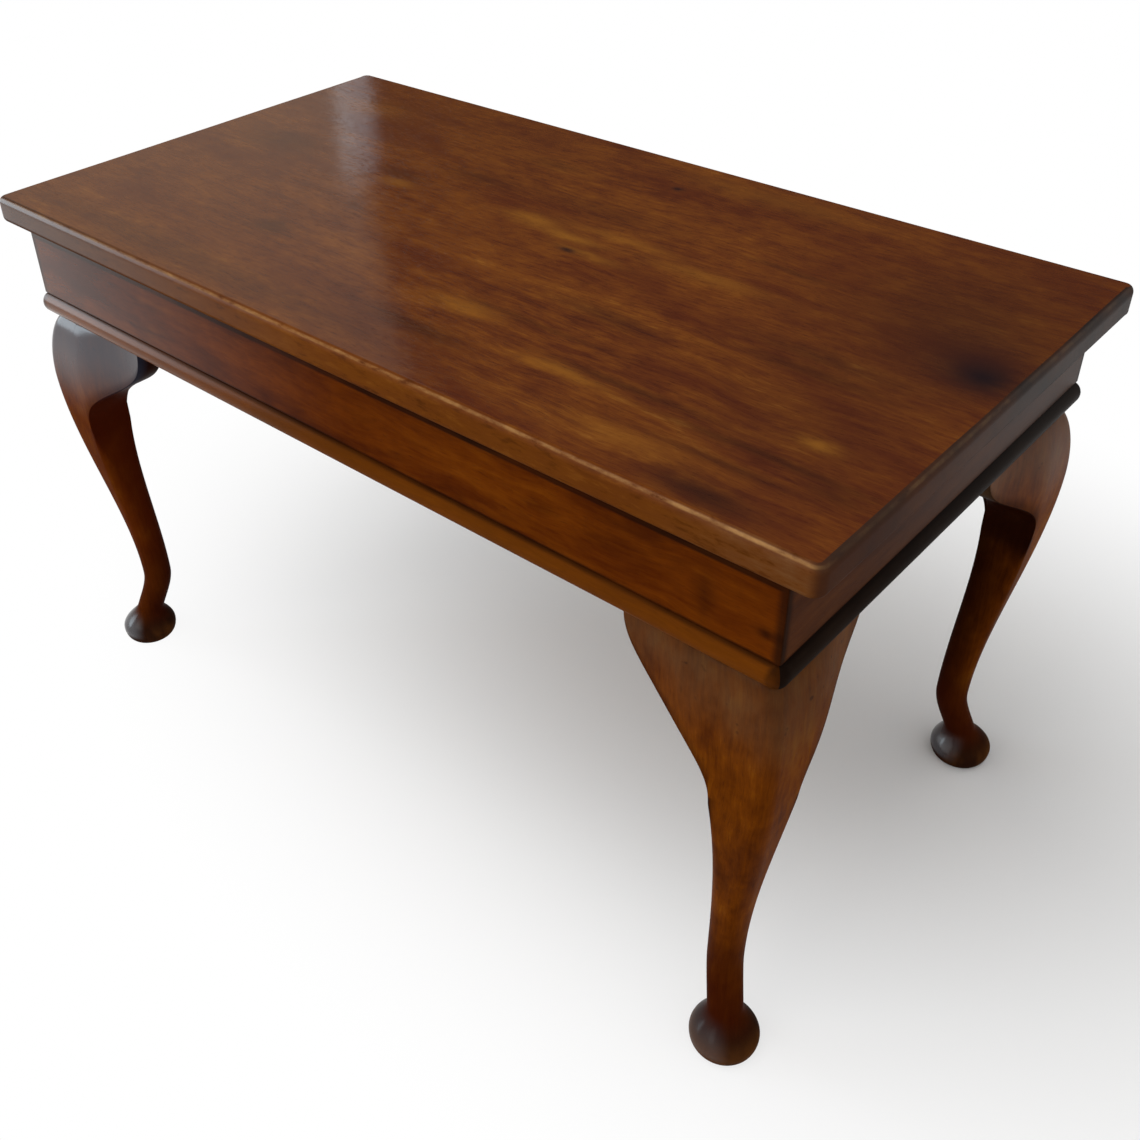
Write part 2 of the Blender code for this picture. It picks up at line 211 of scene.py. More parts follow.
print("edges sharper than", round(math.degrees(SMOOTH_ANGLE)), "degrees stay crisp")

# %% [markdown]
# ## Small curves and dressing
#
# No edge on old furniture is truly sharp, so outlines get soft corners. A narrow flat strip is kept beside
# each rounded edge. Without it, smooth shading would bend the light over the whole flat face, and a straight
# board would look like a pillow. Each finished skin is then dressed: it takes the place of one imported piece,
# which is hidden, and moves with that piece's body.

# %% small curves and dressing
HAIRLINE = 0.00006                     # what still shows of a glued joint


def ease(share):
    """Smooth step: 3t² - 2t³ on t held between 0 and 1, level at both ends."""
    share = np.clip(share, 0.0, 1.0)
    return share * share * (3.0 - 2.0 * share)


def quarter_turn(points):
    """Angles evenly spaced over a quarter turn, both ends included."""
    return np.radians(np.linspace(0.0, 90.0, points))


def full_turn(points):
    """Angles evenly spaced round a full turn, without its end."""
    return np.linspace(0.0, 2.0 * math.pi, points, endpoint=False)


def softened(corners, radius, steps=4):
    """Closed outline with soft corners: each is a quadratic curve between points `radius` off the corner.

    A further point, two radii off the corner on each side, keeps the flat next to it flat.
    """
    corners = np.asarray(corners, float)
    before, after = (unit(np.roll(corners, turn, 0) - corners) for turn in (1, -1))
    share = np.linspace(0.0, 1.0, steps + 1)[None, :, None]
    bend = corners[:, None] + radius * (before[:, None] * (1 - share) ** 2 + after[:, None] * share ** 2)
    guards = [corners[:, None] + 2.0 * radius * way[:, None] for way in (before, after)]
    return np.concatenate([guards[0], bend, guards[1]], 1).reshape(-1, corners.shape[1])


def corners_of(node):
    """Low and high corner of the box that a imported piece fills."""
    return [np.array(corner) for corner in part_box(node)]


dressed = {}


def dress(piece, node, extra=False):
    """Let a piece ride with a node's body; unless it is extra, the node is hidden and the piece stands for it.
    """
    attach(piece, frame["nodes"][node]["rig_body"])
    if not extra:
        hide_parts(node)
    dressed[piece.name] = piece
    return piece


print("a joint shows as a line of", HAIRLINE * 1000, "mm")

# %% [markdown]
# ## Lid
#
# The top is one wide board. Its edge stands upright between an upper round and a slightly larger lower one,
# but along the hinged back both are left nearly square, so that the brass has a flat seat. A cube with a
# bevel would come close. Here the radius has to change round the back corners, and years of polishing have
# worn it a little unevenly besides. So the outline is carried up the edge ring by ring, each point with its
# own radius.

# %% lid board
LID_CORNER = 0.009
LID_TOP_ROUND = 0.0056
LID_UNDER_ROUND = 0.0065
LID_BACK_ROUND = 0.0015                # both edges along the hinged back
LID_WEAR = 0.0004                      # how much the upper round varies
EDGE_FLAT = 0.0012                     # flat strip kept beside a round
EDGE_POINTS = 11                       # points up each quarter round
LEAST_CORNER = 0.0003

lid_low, lid_high = corners_of("lid_panel")
lid_half = (lid_high - lid_low)[:2] / 2
lid_middle = (lid_high + lid_low)[:2] / 2


def lid_outline(half, corner, side_points=48, corner_points=12):
    """Centres, outward directions and inward pulls round a rectangle with round corners.

    A straight side has evenly spaced points with one direction. A corner has one centre, a fan of
    directions, and a pull towards the middle of the lid for rings that are smaller than the corner.
    """
    centre, way, pull = [], [], []
    for quarter, (sx, sy) in enumerate(((1, 1), (-1, 1), (-1, -1), (1, -1))):
        hub = np.array([sx, sy]) * (half - corner)
        fan = np.radians(90.0 * quarter + np.linspace(0.0, 90.0, corner_points))
        centre.append(np.repeat(hub[None], corner_points, 0))
        way.append(np.stack([np.cos(fan), np.sin(fan)], 1))
        pull.append(np.repeat([[float(sx), float(sy)]], corner_points, 0))
        share = np.linspace(0.0, 1.0, side_points + 2)[1:-1, None]
        step = np.array([-2.0 * sx, 0.0]) if quarter % 2 == 0 else np.array([0.0, -2.0 * sy])
        centre.append(hub + share * step * (half - corner))
        way.append(np.repeat(way[-1][-1:], side_points, 0))
        pull.append(way[-1])
    return np.concatenate(centre), np.concatenate(way), np.concatenate(pull)


def lid_board():
    """Lid: outline point = centre + (corner - inset) * direction, carried up two quarter rounds.

    Each point's radius is the plain size plus a slow sum of sines round the outline, and runs down to the
    back's radius by the sine of its direction. Where the inset passes the corner, the centre is pulled in.
    """
    centre, way, pull = lid_outline(lid_half, LID_CORNER)
    turn = full_turn(len(centre))
    worn = 0.5 * np.sin(3 * turn + 0.6) + 0.3 * np.sin(7 * turn + 1.9) + 0.2 * np.sin(17 * turn + 4.0)
    to_back = np.clip(way[:, 1], 0.0, 1.0)
    upper = LID_TOP_ROUND + LID_WEAR * worn
    upper += (LID_BACK_ROUND - upper) * to_back
    under = LID_UNDER_ROUND + (LID_BACK_ROUND - LID_UNDER_ROUND) * to_back
    arc = quarter_turn(EDGE_POINTS)[:, None]
    under_z = lid_low[2] + under * (1 - np.cos(arc))
    upper_z = lid_high[2] - upper * (1 - np.sin(arc))
    flat = 0.0 * upper
    inset = np.concatenate([[under + EDGE_FLAT], under * (1 - np.sin(arc)), [flat, flat],
                            upper * (1 - np.cos(arc)), [upper + EDGE_FLAT]])
    height = np.concatenate([[flat + lid_low[2]], under_z, [under_z[-1] + EDGE_FLAT, upper_z[0] - EDGE_FLAT],
                             upper_z, [flat + lid_high[2]]])
    reach = np.maximum(LID_CORNER - inset, LEAST_CORNER)[..., None]
    past = np.maximum(inset - LID_CORNER + LEAST_CORNER, 0.0)[..., None]
    plan = lid_middle + centre - past * pull + reach * way
    return skin("lid_board", np.concatenate([plan, height[..., None]], -1))


lid = dress(lid_board(), "lid_panel")
print("lid:", len(lid.data.vertices), "points,", [round(side, 4) for side in lid.dimensions])

# %% [markdown]
# ## Box boards and base frame
#
# Four boards stand on a flat frame whose half-round edge shows as a moulding. All eight are one kind of
# shape: a section carried along a side of a rectangle, and half-way round the corner at each end, where it
# meets its neighbour on a mitre. Swept curves with a bevel object would do this too, but their corners
# can't be rounded on the outside and sharp on the inside, and here they are.

# %% boards and mouldings
SIDES = (("front", True, -1), ("back", True, 1), ("left", False, -1), ("right", False, 1))
BOARD_ARRIS = 0.0007
BOARD_CORNER = 0.0016                  # rubbed corner of the box, seen from above
NOSE_CORNER = 0.0035                   # rounding of the moulding's corner, inside the box faces
NOSE_DEPTH = 0.010                     # how far the half round reaches into the frame
NOSE_POINTS = 25
MITRE_STATIONS = 7                     # sections round half of a corner

front_low, front_high = corners_of("box_front")
frame_low, frame_high = corners_of("frame_front")
box_front, box_back = front_low[1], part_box("box_back")[1][1]
box_half = np.array([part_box("box_right")[1][0], (box_back - box_front) / 2])
box_middle = (box_back + box_front) / 2
board_depth = front_high[1] - front_low[1]
board_foot, board_top = frame_high[2] + HAIRLINE, lid_low[2] - HAIRLINE


def board_section():
    """(Out, height) of a board: a rectangle inwards from the face of the box, with soft corners."""
    return softened([(0.0, board_foot), (0.0, board_top), (-board_depth, board_top),
                     (-board_depth, board_foot)], BOARD_ARRIS)


def frame_section():
    """(Out, height) of a rail: half an ellipse proud of the box, and a square inner edge."""
    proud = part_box("frame_right")[1][0] - box_half[0]
    middle = (frame_high[2] + frame_low[2]) / 2
    bow = np.radians(np.linspace(-90.0, 90.0, NOSE_POINTS))
    nose = np.stack([proud - NOSE_DEPTH + NOSE_DEPTH * np.cos(bow),
                     middle + (frame_high[2] - middle) * np.sin(bow)], 1)
    inner = proud - (frame_high[1] - frame_low[1])
    return np.concatenate([nose, [(inner, frame_high[2]), (inner, frame_low[2])]])


def carried_round(name, section, along_x, side, corner):
    """Section of (out, height) points carried along one side and round half of each corner.

    Round a corner a point turns about a centre `corner` inside both faces: radius = corner + out. Where that
    would be negative the point stays on the mitre line, and its stations are spread along the straight.
    """
    out, height = section.T
    hub = np.minimum(out, -corner)
    radius = out - hub
    angle = np.radians(np.linspace(0.0, 45.0, MITRE_STATIONS))[:, None]
    spread = np.where(radius > 0.0, 0.0, corner) * (1.0 - angle / angle[-1])
    reach_along, reach_across = box_half if along_x else box_half[::-1]
    run = reach_along + hub + radius * np.sin(angle) - spread - HAIRLINE
    off = reach_across + hub + radius * np.cos(angle)
    run = np.concatenate([-run[::-1], run])
    off = side * np.concatenate([off[::-1], off])
    level = np.broadcast_to(height, run.shape)
    x, y = (run, off) if along_x else (off, run)
    return skin(name, np.stack([x, box_middle + y, level], -1))


for word, along_x, side in SIDES:
    dress(carried_round("board_" + word, board_section(), along_x, side, BOARD_CORNER), "box_" + word)
    dress(carried_round("moulding_" + word, frame_section(), along_x, side, NOSE_CORNER), "frame_" + word)
print("boards:", round(board_top - board_foot, 4), "m high,", round(board_depth, 4), "m thick")

# %% [markdown]
# ## Cabriole legs
#
# The leg is the piece that takes the most skill at the bench. Seen from the front or from the side its
# outline is the same: a full knee, a long S down to a slim ankle, and a round pad foot. Carvers saw those
# two outlines at right angles and then round the section, from a square at the knee with a soft front edge
# to a circle at the ankle. The surface repeats that: for every height one formula places the outer faces,
# one the inner faces, and two radii round the corners.

# %% sizes of a leg at each height
FOOT_INSET = 0.0165                    # foot's axis, in from the faces of the box
SOLE_RADIUS = 0.0216
PAD_HEIGHT = 0.012                     # widest part of the pad
NECK_HEIGHT = 0.036
ANKLE_HEIGHT = 0.083
ANKLE_RADIUS = 0.0140
ANKLE_SETBACK = 0.0143                 # ankle's middle, inwards from the foot's axis
KNEE_DROP = 0.064                      # widest part of the knee, below the frame
KNEE_REACH = 0.0255
KNEE_TOP_REACH = 0.0074
KNEE_ARRIS = 0.0100
BLOCK_DROP = 0.1185                    # foot of the square block that the ears are glued to
BLOCK_SETBACK = 0.020
JOINT_EDGE = 0.0001                    # softening where an ear is glued on

leg_top = frame_low[2] - HAIRLINE
knee_height = leg_top - KNEE_DROP
block_height = leg_top - BLOCK_DROP
foot_place = box_half - FOOT_INSET
foot_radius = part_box("leg_back_right")[1][1] - box_middle - foot_place[1]


def outer_reach(z):
    """Outer faces: a smooth step from ankle to knee, then a quarter ellipse up to the frame."""
    slim = ANKLE_RADIUS - ANKLE_SETBACK
    shank = slim + (KNEE_REACH - slim) * ease((z - ANKLE_HEIGHT) / (knee_height - ANKLE_HEIGHT))
    rise = np.clip((z - knee_height) / KNEE_DROP, 0.0, 1.0)
    knee = KNEE_TOP_REACH + (KNEE_REACH - KNEE_TOP_REACH) * np.sqrt(1.0 - rise * rise)
    return np.where(z < knee_height, shank, knee)


def leg_sizes(z):
    """Inner face, outer face, front corner radius and side corner radius of the section at each height.

    Below the ankle all of them follow one circle: an elliptic edge up to the pad's widest part, then smooth
    steps that narrow it to the ankle and move it back.
    """
    to_edge = 1.0 - np.minimum(z / PAD_HEIGHT, 1.0)
    sole = SOLE_RADIUS + (foot_radius - SOLE_RADIUS) * np.sqrt(1.0 - to_edge ** 2)
    neck = ease((z - PAD_HEIGHT) / (NECK_HEIGHT - PAD_HEIGHT))
    circle = np.where(z < PAD_HEIGHT, sole, foot_radius + (ANKLE_RADIUS - foot_radius) * neck)
    back = -ANKLE_SETBACK * ease((z - PAD_HEIGHT) / (ANKLE_HEIGHT - PAD_HEIGHT))
    ankle_inner = -ANKLE_SETBACK - ANKLE_RADIUS
    to_block = (z - ANKLE_HEIGHT) / (block_height - ANKLE_HEIGHT)
    inner = ankle_inner + (-BLOCK_SETBACK - ankle_inner) * ease(to_block)
    outer = outer_reach(z)
    half = (outer - inner) / 2
    to_knee = np.clip((z - ANKLE_HEIGHT) / (knee_height - ANKLE_HEIGHT), 0.0, 1.0)
    front = half + (KNEE_ARRIS - half) * to_knee
    side = half + (JOINT_EDGE - half) * np.clip(to_block, 0.0, 1.0) ** 2
    foot = z < ANKLE_HEIGHT
    return (np.where(foot, back - circle, inner), np.where(foot, back + circle, outer),
            np.where(foot, circle, front), np.where(foot, circle, side))


print("knee at", round(knee_height, 4), "m, pad radius", round(foot_radius, 4), "m")

# %% [markdown]
# ## Leg surfaces
#
# The sizes are now turned into rings: four corner arcs joined by straight faces. The rings are worked out
# outward from the foot's own axis and moved to a corner afterwards, so the four legs can't differ in shape.

# %% leg surfaces
LEG_ROWS = (10, 40, 90, 46)            # heights in the pad, neck, shank and knee
ARC_POINTS = 14                        # points on each corner of the section
FACE_POINTS = 8                        # points on each face between two corners


def leg_rings():
    """Rings of (u, v, z) outward from the foot's axis: four corner arcs joined by straight faces."""
    pad, neck, shank, knee = LEG_ROWS
    curl = np.radians(np.linspace(0.0, 90.0, pad, endpoint=False))
    bend = quarter_turn(knee)
    z = np.concatenate([PAD_HEIGHT * (1.0 - np.cos(curl)),
                        np.linspace(PAD_HEIGHT, ANKLE_HEIGHT, neck, endpoint=False),
                        np.linspace(ANKLE_HEIGHT, knee_height, shank, endpoint=False),
                        knee_height + KNEE_DROP * np.sin(bend)])
    inner, outer, front, side = (size[:, None] for size in leg_sizes(z))
    arcs = []
    for quarter, (su, sv) in enumerate(((1, 1), (-1, 1), (-1, -1), (1, -1))):
        radius = front if quarter == 0 else side
        angle = np.radians(90.0 * quarter + np.linspace(0.0, 90.0, ARC_POINTS))
        u = (outer - radius if su > 0 else inner + radius) + radius * np.cos(angle)
        v = (outer - radius if sv > 0 else inner + radius) + radius * np.sin(angle)
        arcs.append(np.stack([u, v], -1))
    share = np.linspace(0.0, 1.0, FACE_POINTS + 2)[None, 1:-1, None]
    ring = []
    for arc, after in zip(arcs, arcs[1:] + arcs[:1]):
        ring += [arc, arc[:, -1:] * (1.0 - share) + after[:, :1] * share]
    plan = np.concatenate(ring, 1)
    return np.concatenate([plan, np.broadcast_to(z[:, None, None], plan.shape[:2] + (1,))], -1)


def placed(rings, side_x, side_y, swap=False):
    """Move (u, v, z) points from a leg's own outward axes to its corner, with u and v swapped if asked."""
    u, v, z = np.moveaxis(rings[..., [1, 0, 2]] if swap else rings, -1, 0)
    return np.stack([side_x * (foot_place[0] + u), box_middle + side_y * (foot_place[1] + v), z], -1)


print("leg:", sum(LEG_ROWS), "rings of", 4 * (ARC_POINTS + FACE_POINTS), "points")

# %% [markdown]
# ## Painted shade on the hidden sides of the legs
#
# A second array notes how far each point is turned away from the light, towards the hollow side under the
# table. A finish reads the array as an attribute and paints shade there. Real shadow alone wouldn't do it,
# because it goes away when the table is lit from another side.

# %% hidden sides and the four legs
CORNERS = (("front_left", -1, -1), ("front_right", 1, -1), ("back_left", -1, 1), ("back_right", 1, 1))
HIDDEN_SHADE_SPAN = {"front_left": 1.75, "front_right": 0.90, "back_left": 1.6, "back_right": 1.6}
GLUED_FROM = 0.8                       # share of the section's width from which a face by an ear is seen
GLUED_FADE = 0.02                      # height over which that starts, below the block
# below the ears, both inner faces get painted shade over this height
BELOW_EARS = 0.050                     # height of the dark hollow below the ears
HOLLOW_SHARE = 0.12                    # share of the section's width that counts as hollow
HOLLOW_LAP = 0.006                     # how far the hollow laps over the block


def mark(piece, name, values):
    """Keep one number for each point of a skin, which a finish can read later by its name."""
    note = piece.data.attributes.new(name, "FLOAT", "POINT")
    note.data.foreach_set("value", np.asarray(values, float).ravel())


def hidden_side_shade(rings, span):
    """Painted shade on the hidden side: 1 at the inner corner of the section, 0 on its outer faces.

    Up where the ears are glued on, the whole of each outer face counts as seen. Just below the ears both
    inner faces get painted shade as dark as the undersides of the ears.
    """
    z = rings[:, :1, 2]
    inner, outer = leg_sizes(z)[:2]
    place = (rings[..., :2] - inner[..., None]) / (outer - inner)[..., None]
    glued = ease((z - block_height) / GLUED_FADE + 1.0) * (place.max(-1) > GLUED_FROM)
    turned_in = ease(1.0 - place.sum(-1) / span) * (1.0 - glued)
    below = ease(1.0 - (block_height - z) / BELOW_EARS) * ease(1.0 - place.min(-1) / HOLLOW_SHARE)
    return np.maximum(turned_in, below * (z < block_height + HOLLOW_LAP))


rings = leg_rings()
for corner, side_x, side_y in CORNERS:
    leg = dress(skin("cabriole_" + corner, placed(rings, side_x, side_y)), "leg_" + corner)
    mark(leg, "hidden", hidden_side_shade(rings, HIDDEN_SHADE_SPAN[corner]))
print("leg:", len(leg.data.vertices), "points,", round(leg_top, 4), "m high")

# %% [markdown]
# ## Ears
#
# A small bracket, the ear, is glued to each flat inner side of the knee and carries its curve along the
# frame. Its lower edge is an S that leaves the tip upright and meets the leg upright. Upright sections
# from tip to leg make the shape: each has the knee's own curve on its face, less and less of it towards
# the tip.

# %% ears
EAR_LENGTH = 0.085
EAR_HEIGHT = 0.1135
EAR_TIP = 0.007
EAR_THICKNESS = 0.025
EAR_FULLNESS = 0.52                    # how far the S keeps upright at its ends, as a share of its height
EAR_ARRIS = 0.0010
EAR_GAP = 0.3 * HAIRLINE
EAR_STATIONS = 64
EAR_FACE_POINTS = 30
EAR_EDGE_POINTS = 5
# share of painted shade on the lowest line of an ear's face
EAR_SHADE = 0.5                        # how hidden the lowest line of an ear's face is
ear_back = KNEE_TOP_REACH - EAR_THICKNESS
ear_root = -BLOCK_SETBACK - EAR_GAP


def ear_rings():
    """Sections of (along, out, z): drop is a cubic curve upright at both ends, along a smooth step.

    The face's reach runs from flush at the tip to the knee's own curve by a smooth step, level at the leg.
    A quarter round softens each lower edge.
    """
    share = np.linspace(0.0, 1.0, EAR_STATIONS)
    spread = EAR_FULLNESS * (EAR_HEIGHT - EAR_TIP)
    rest = 1.0 - share
    drop = (rest ** 3 * EAR_TIP + 3 * rest ** 2 * share * (EAR_TIP + spread)
            + 3 * rest * share ** 2 * (EAR_HEIGHT - spread) + share ** 3 * EAR_HEIGHT)[:, None]
    near = ease(share)[:, None]
    face_z = leg_top - (drop - EAR_ARRIS) * np.linspace(0.0, 1.0, EAR_FACE_POINTS)
    face_out = KNEE_TOP_REACH + (outer_reach(face_z) - KNEE_TOP_REACH) * ease(near)
    low = leg_top - drop
    arc = quarter_turn(EAR_EDGE_POINTS)[None, 1:]
    front_out = face_out[:, -1:] - EAR_ARRIS * (1 - np.cos(arc))
    front_z = low + EAR_ARRIS * (1 - np.sin(arc))
    back_out = ear_back + EAR_ARRIS * (1 - np.sin(arc)) + 0.0 * low
    back_z = low + EAR_ARRIS * (1 - np.cos(arc))
    out = np.concatenate([face_out, front_out, back_out, ear_back + 0.0 * low], 1)
    z = np.concatenate([face_z, front_z, back_z, leg_top + 0.0 * low], 1)
    along = np.broadcast_to(ear_root - EAR_LENGTH * (1.0 - near), out.shape)
    return np.stack([along, out, z], -1)


def ear_hidden_shade(rings):
    """Painted shade on an ear: full below and behind, a little on the face's lowest fifth."""
    hidden = np.ones(rings.shape[:2])
    hidden[:, :EAR_FACE_POINTS] = EAR_SHADE * ease(np.linspace(-4.0, 1.0, EAR_FACE_POINTS))
    return hidden


print("ear:", EAR_STATIONS, "sections, back face", round(ear_back, 4), "m from the foot's axis")

# %% [markdown]
# ## Glue blocks
#
# Behind each ear a three-sided block is rubbed into the corner with glue. It is one outline with soft
# corners, carried straight from end to end. Ears and blocks are then set at all four corners, along the long
# side and along the end, where the two flat axes are swapped.

# %% glue blocks, and ears in place
EAR_WAYS = ("long", "end")
BLOCK_MARGIN = 0.015
BLOCK_SIDE = 0.014
BLOCK_ARRIS = 0.0010


def carried_straight(outline, axis, places):
    """Rings of one flat outline at several places along x, y or z, which is axis 0, 1 or 2."""
    return np.stack([np.insert(outline, axis, place, 1) for place in places])


def glue_block_rings():
    """Two ends of a three-sided block with soft edges: one side on the frame, one on the ear's back."""
    back = ear_back - HAIRLINE
    triangle = softened([(back, leg_top), (back - BLOCK_SIDE, leg_top), (back, leg_top - BLOCK_SIDE)],
                        BLOCK_ARRIS)
    return carried_straight(triangle, 0, (ear_root - BLOCK_MARGIN, ear_root - EAR_LENGTH + BLOCK_MARGIN))


for corner, side_x, side_y in CORNERS:
    for way in EAR_WAYS:
        ending = corner + "_" + way
        ear = placed(ear_rings(), side_x, side_y, way == "end")
        mark(dress(skin("bracket_" + ending, ear), "ear_" + ending), "hidden", ear_hidden_shade(ear))
        block = placed(glue_block_rings(), side_x, side_y, way == "end")
        dress(skin("corner_block_" + ending, block), "glue_block_" + ending)
print("ears:", len(CORNERS) * len(EAR_WAYS), "with", EAR_STATIONS, "sections each")

# %% [markdown]
# ## Battens and bottom panel
#
# Two battens across the grain keep the lid flat, with sloped ends that clear the box as it opens. The
# bottom panel lies loose on the frame inside the boards. Both are plain joiner's pieces, so their outline
# with softened edges is enough.

# %% battens and panel
HANDS = ("left", "right")
BATTEN_CHAMFER = 0.008
BATTEN_ARRIS = 0.0012
PANEL_ARRIS = 0.0005


def batten(word):
    """Batten: a trapezium with soft corners in (y, z), carried across in x, a little smaller at its ends."""
    low, high = corners_of("lid_batten_" + word)
    outline = softened([(low[1], high[2]), (high[1], high[2]), (high[1] - BATTEN_CHAMFER, low[2]),
                        (low[1] + BATTEN_CHAMFER, low[2])], BATTEN_ARRIS)
    middle = outline.mean(0)
    smaller = middle + (outline - middle) * (1.0 - 2.0 * BATTEN_ARRIS / np.ptp(outline, axis=0))
    body = carried_straight(outline, 0, (low[0] + BATTEN_ARRIS, high[0] - BATTEN_ARRIS))
    first, last = carried_straight(smaller, 0, (low[0], high[0]))
    return skin("batten_" + word, [first, *body, last])


def panel():
    """Bottom panel: a rectangle with soft corners in (x, y), carried up its thickness."""
    low, high = corners_of("bottom_panel")
    plan = softened([(low[0], low[1]), (high[0], low[1]), (high[0], high[1]), (low[0], high[1])], PANEL_ARRIS)
    return skin("box_bottom", carried_straight(plan, 2, (low[2], high[2])))


for word in HANDS:
    dress(batten(word), "lid_batten_" + word)
bottom = dress(panel(), "bottom_panel")
print("bottom panel:", [round(side, 4) for side in bottom.dimensions])

# %% [markdown]
# ## Hinge leaves
#
# Each hinge has a leaf down the back board, a leaf up the back edge of the lid and a pin. A leaf is a strip
# of brass whose end is rolled round the pin, so its section is a flat and most of a circle. The rolled end
# is then notched where the other leaf's knuckles go, with a Boolean cut: a saw does the same at the bench.

# %% hinge leaves
LEAVES = (("box", -1), ("lid", 1))     # a leaf's word, and whether it goes down or up from the pin
LEAF_THICKNESS = 0.0016
PIN_RADIUS = 0.0015
RUNNING_GAP = 0.0003
KNUCKLES = 3
CURL_POINTS = 49
barrel_bore = PIN_RADIUS + RUNNING_GAP
barrel = barrel_bore + LEAF_THICKNESS
curl_turn = math.radians(270.0) + math.asin(1.0 - (LEAF_THICKNESS + RUNNING_GAP) / barrel)
pivot_y, pivot_z = frame["joints"][0]["pos_m"][1:]


def leaf_section(reach):
    """(Along the leaf, off its seat): a strip that starts at `reach`, then two arcs about the pin."""
    outer = np.linspace(-0.5 * math.pi, -0.5 * math.pi - curl_turn, CURL_POINTS)
    roll_out = np.stack([barrel * np.cos(outer), barrel + barrel * np.sin(outer)], 1)
    inner = outer[::-1]
    roll_in = np.stack([barrel_bore * np.cos(inner), barrel + barrel_bore * np.sin(inner)], 1)
    return np.concatenate([[(reach, 0.0)], roll_out, roll_in, [(reach, LEAF_THICKNESS)]])


def notch(leaf, low_x, high_x):
    """Cut the rolled end of a leaf away between two places along the pin, with a square block."""
    size = barrel + RUNNING_GAP
    square = [(pivot_y + sy * size, pivot_z + sz * size) for sy, sz in ((-1, -1), (1, -1), (1, 1), (-1, 1))]
    block = skin("notch_block", carried_straight(square, 0, (low_x, high_x)))
    cut = leaf.modifiers.new("notch", "BOOLEAN")
    cut.operation = "DIFFERENCE"
    cut.object = block
    shape = bpy.data.meshes.new_from_object(leaf.evaluated_get(bpy.context.evaluated_depsgraph_get()))
    leaf.modifiers.remove(cut)
    leaf.data = shape
    bpy.data.objects.remove(block)


def leaf_of(node, way):
    """One leaf over its node's length, down (-1) or up (1) from the pin, notched at every other knuckle."""
    low, high = corners_of(node)
    reach = high[2] - pivot_z if way > 0 else pivot_z - low[2]
    along, off = leaf_section(reach).T
    section = np.stack([pivot_y - barrel + off, pivot_z + way * along], 1)
    name = node.replace("hinge_", "").replace("leaf_", "") + "_leaf"
    leaf = skin(name, carried_straight(section, 0, (low[0], high[0])))
    edges = np.linspace(low[0], high[0], KNUCKLES + 1)
    for first in range(0 if way > 0 else 1, KNUCKLES, 2):
        notch(leaf, edges[first] - RUNNING_GAP, edges[first + 1] + RUNNING_GAP)
    shade_smooth(leaf)
    return leaf


print("hinge axis at y", round(pivot_y, 4), "z", round(pivot_z, 4), "barrel radius", round(barrel, 4))

# %% [markdown]
# ## Hinge pins
#
# A pin is turned on a lathe: a thin rod with a flat head at each end. A cylinder with two more cylinders
# would do, but one profile turned about the hinge's axis gives the heads their soft rims as well. With the
# pin both hinges can be put together.

# %% hinge pins
PIN_HEAD = 0.0012                      # thickness of a head
PIN_SIDES = 40


def hinge_pin(word):
    """Pin: a profile of places along x and radii, turned about the axis; its right end mirrors its left."""
    low, high = corners_of("hinge_pin_" + word)
    head = (high[2] - low[2]) / 2
    soft = PIN_HEAD / 4
    left_end = np.array([(0.0, head - soft), (soft, head), (PIN_HEAD - soft, head),
                         (PIN_HEAD, head - soft), (PIN_HEAD, PIN_RADIUS)])
    x = np.concatenate([low[0] + left_end[:, 0], high[0] - left_end[::-1, 0]])[:, None]
    radius = np.concatenate([left_end[:, 1], left_end[::-1, 1]])[:, None]
    angle = full_turn(PIN_SIDES)
    return skin("pin_" + word, np.stack([x + 0.0 * angle, pivot_y + radius * np.cos(angle),
                                         pivot_z + radius * np.sin(angle)], -1))


for word in HANDS:
    for leaf_word, way in LEAVES:
        node = "hinge_" + leaf_word + "_leaf_" + word
        dress(leaf_of(node, way), node)
    pin = dress(hinge_pin(word), "hinge_pin_" + word)
print("pin:", round(pin.dimensions[0], 4), "m long")

# %% [markdown]
# ## Screw heads
#
# Slotted brass screws hold the leaves, and larger ones the battens. A head is a shallow dome on a round
# grid: height falls with the square of the distance from the middle, and a narrow band across it is pushed
# down for the slot. All the screws of one piece are one object.

# %% screw heads
SLOT_SHARE = 0.13                      # half width of the slot, as a share of the head's radius
SLOT_EDGE = 0.05                       # width of the slot's edge, as a share of the head's radius
SLOT_DEPTH = 0.0006
DOME = 0.00022                         # how far a head stands above its seat
DOME_FALL = 0.8                        # how much of that is gone at the rim
HEAD_RINGS = 26
HEAD_SIDES = 72


def screw_rings(centre, normal, slot_way, radius):
    """Head: rings from the middle to the rim and down to the seat, with height = dome (1 - fall r²) - slot.

    The slot is a smooth step down where the distance across the slot's line is under its half width.
    """
    across = np.cross(normal, slot_way)
    share = np.concatenate([np.linspace(0.01, 1.0, HEAD_RINGS), [1.0]])[:, None]
    angle = full_turn(HEAD_SIDES)
    a, b = share * np.cos(angle), share * np.sin(angle)
    slot = ease((SLOT_SHARE - np.abs(b)) / SLOT_EDGE + 0.5)
    height = DOME * (1.0 - DOME_FALL * share ** 2) - SLOT_DEPTH * slot
    height[-1] = -SLOT_DEPTH - DOME
    return (np.asarray(centre) + radius * (a[..., None] * slot_way + b[..., None] * across)
            + height[..., None] * normal)


def screws(name, centres, normal, slot_angles, radius):
    """Several heads as one object; each slot is turned by its own angle in the seat's plane."""
    normal = np.asarray(normal, float)
    first = np.array([1.0, 0.0, 0.0])
    second = np.cross(normal, first)
    heads = []
    for centre, angle in zip(centres, np.radians(slot_angles)):
        way = math.cos(angle) * first + math.sin(angle) * second
        heads.append(skin(name, screw_rings(centre, normal, way, radius)))
    with bpy.context.temp_override(active_object=heads[0], selected_editable_objects=heads):
        bpy.ops.object.join()
    return heads[0]


print("screw head:", HEAD_RINGS, "rings of", HEAD_SIDES, "points")

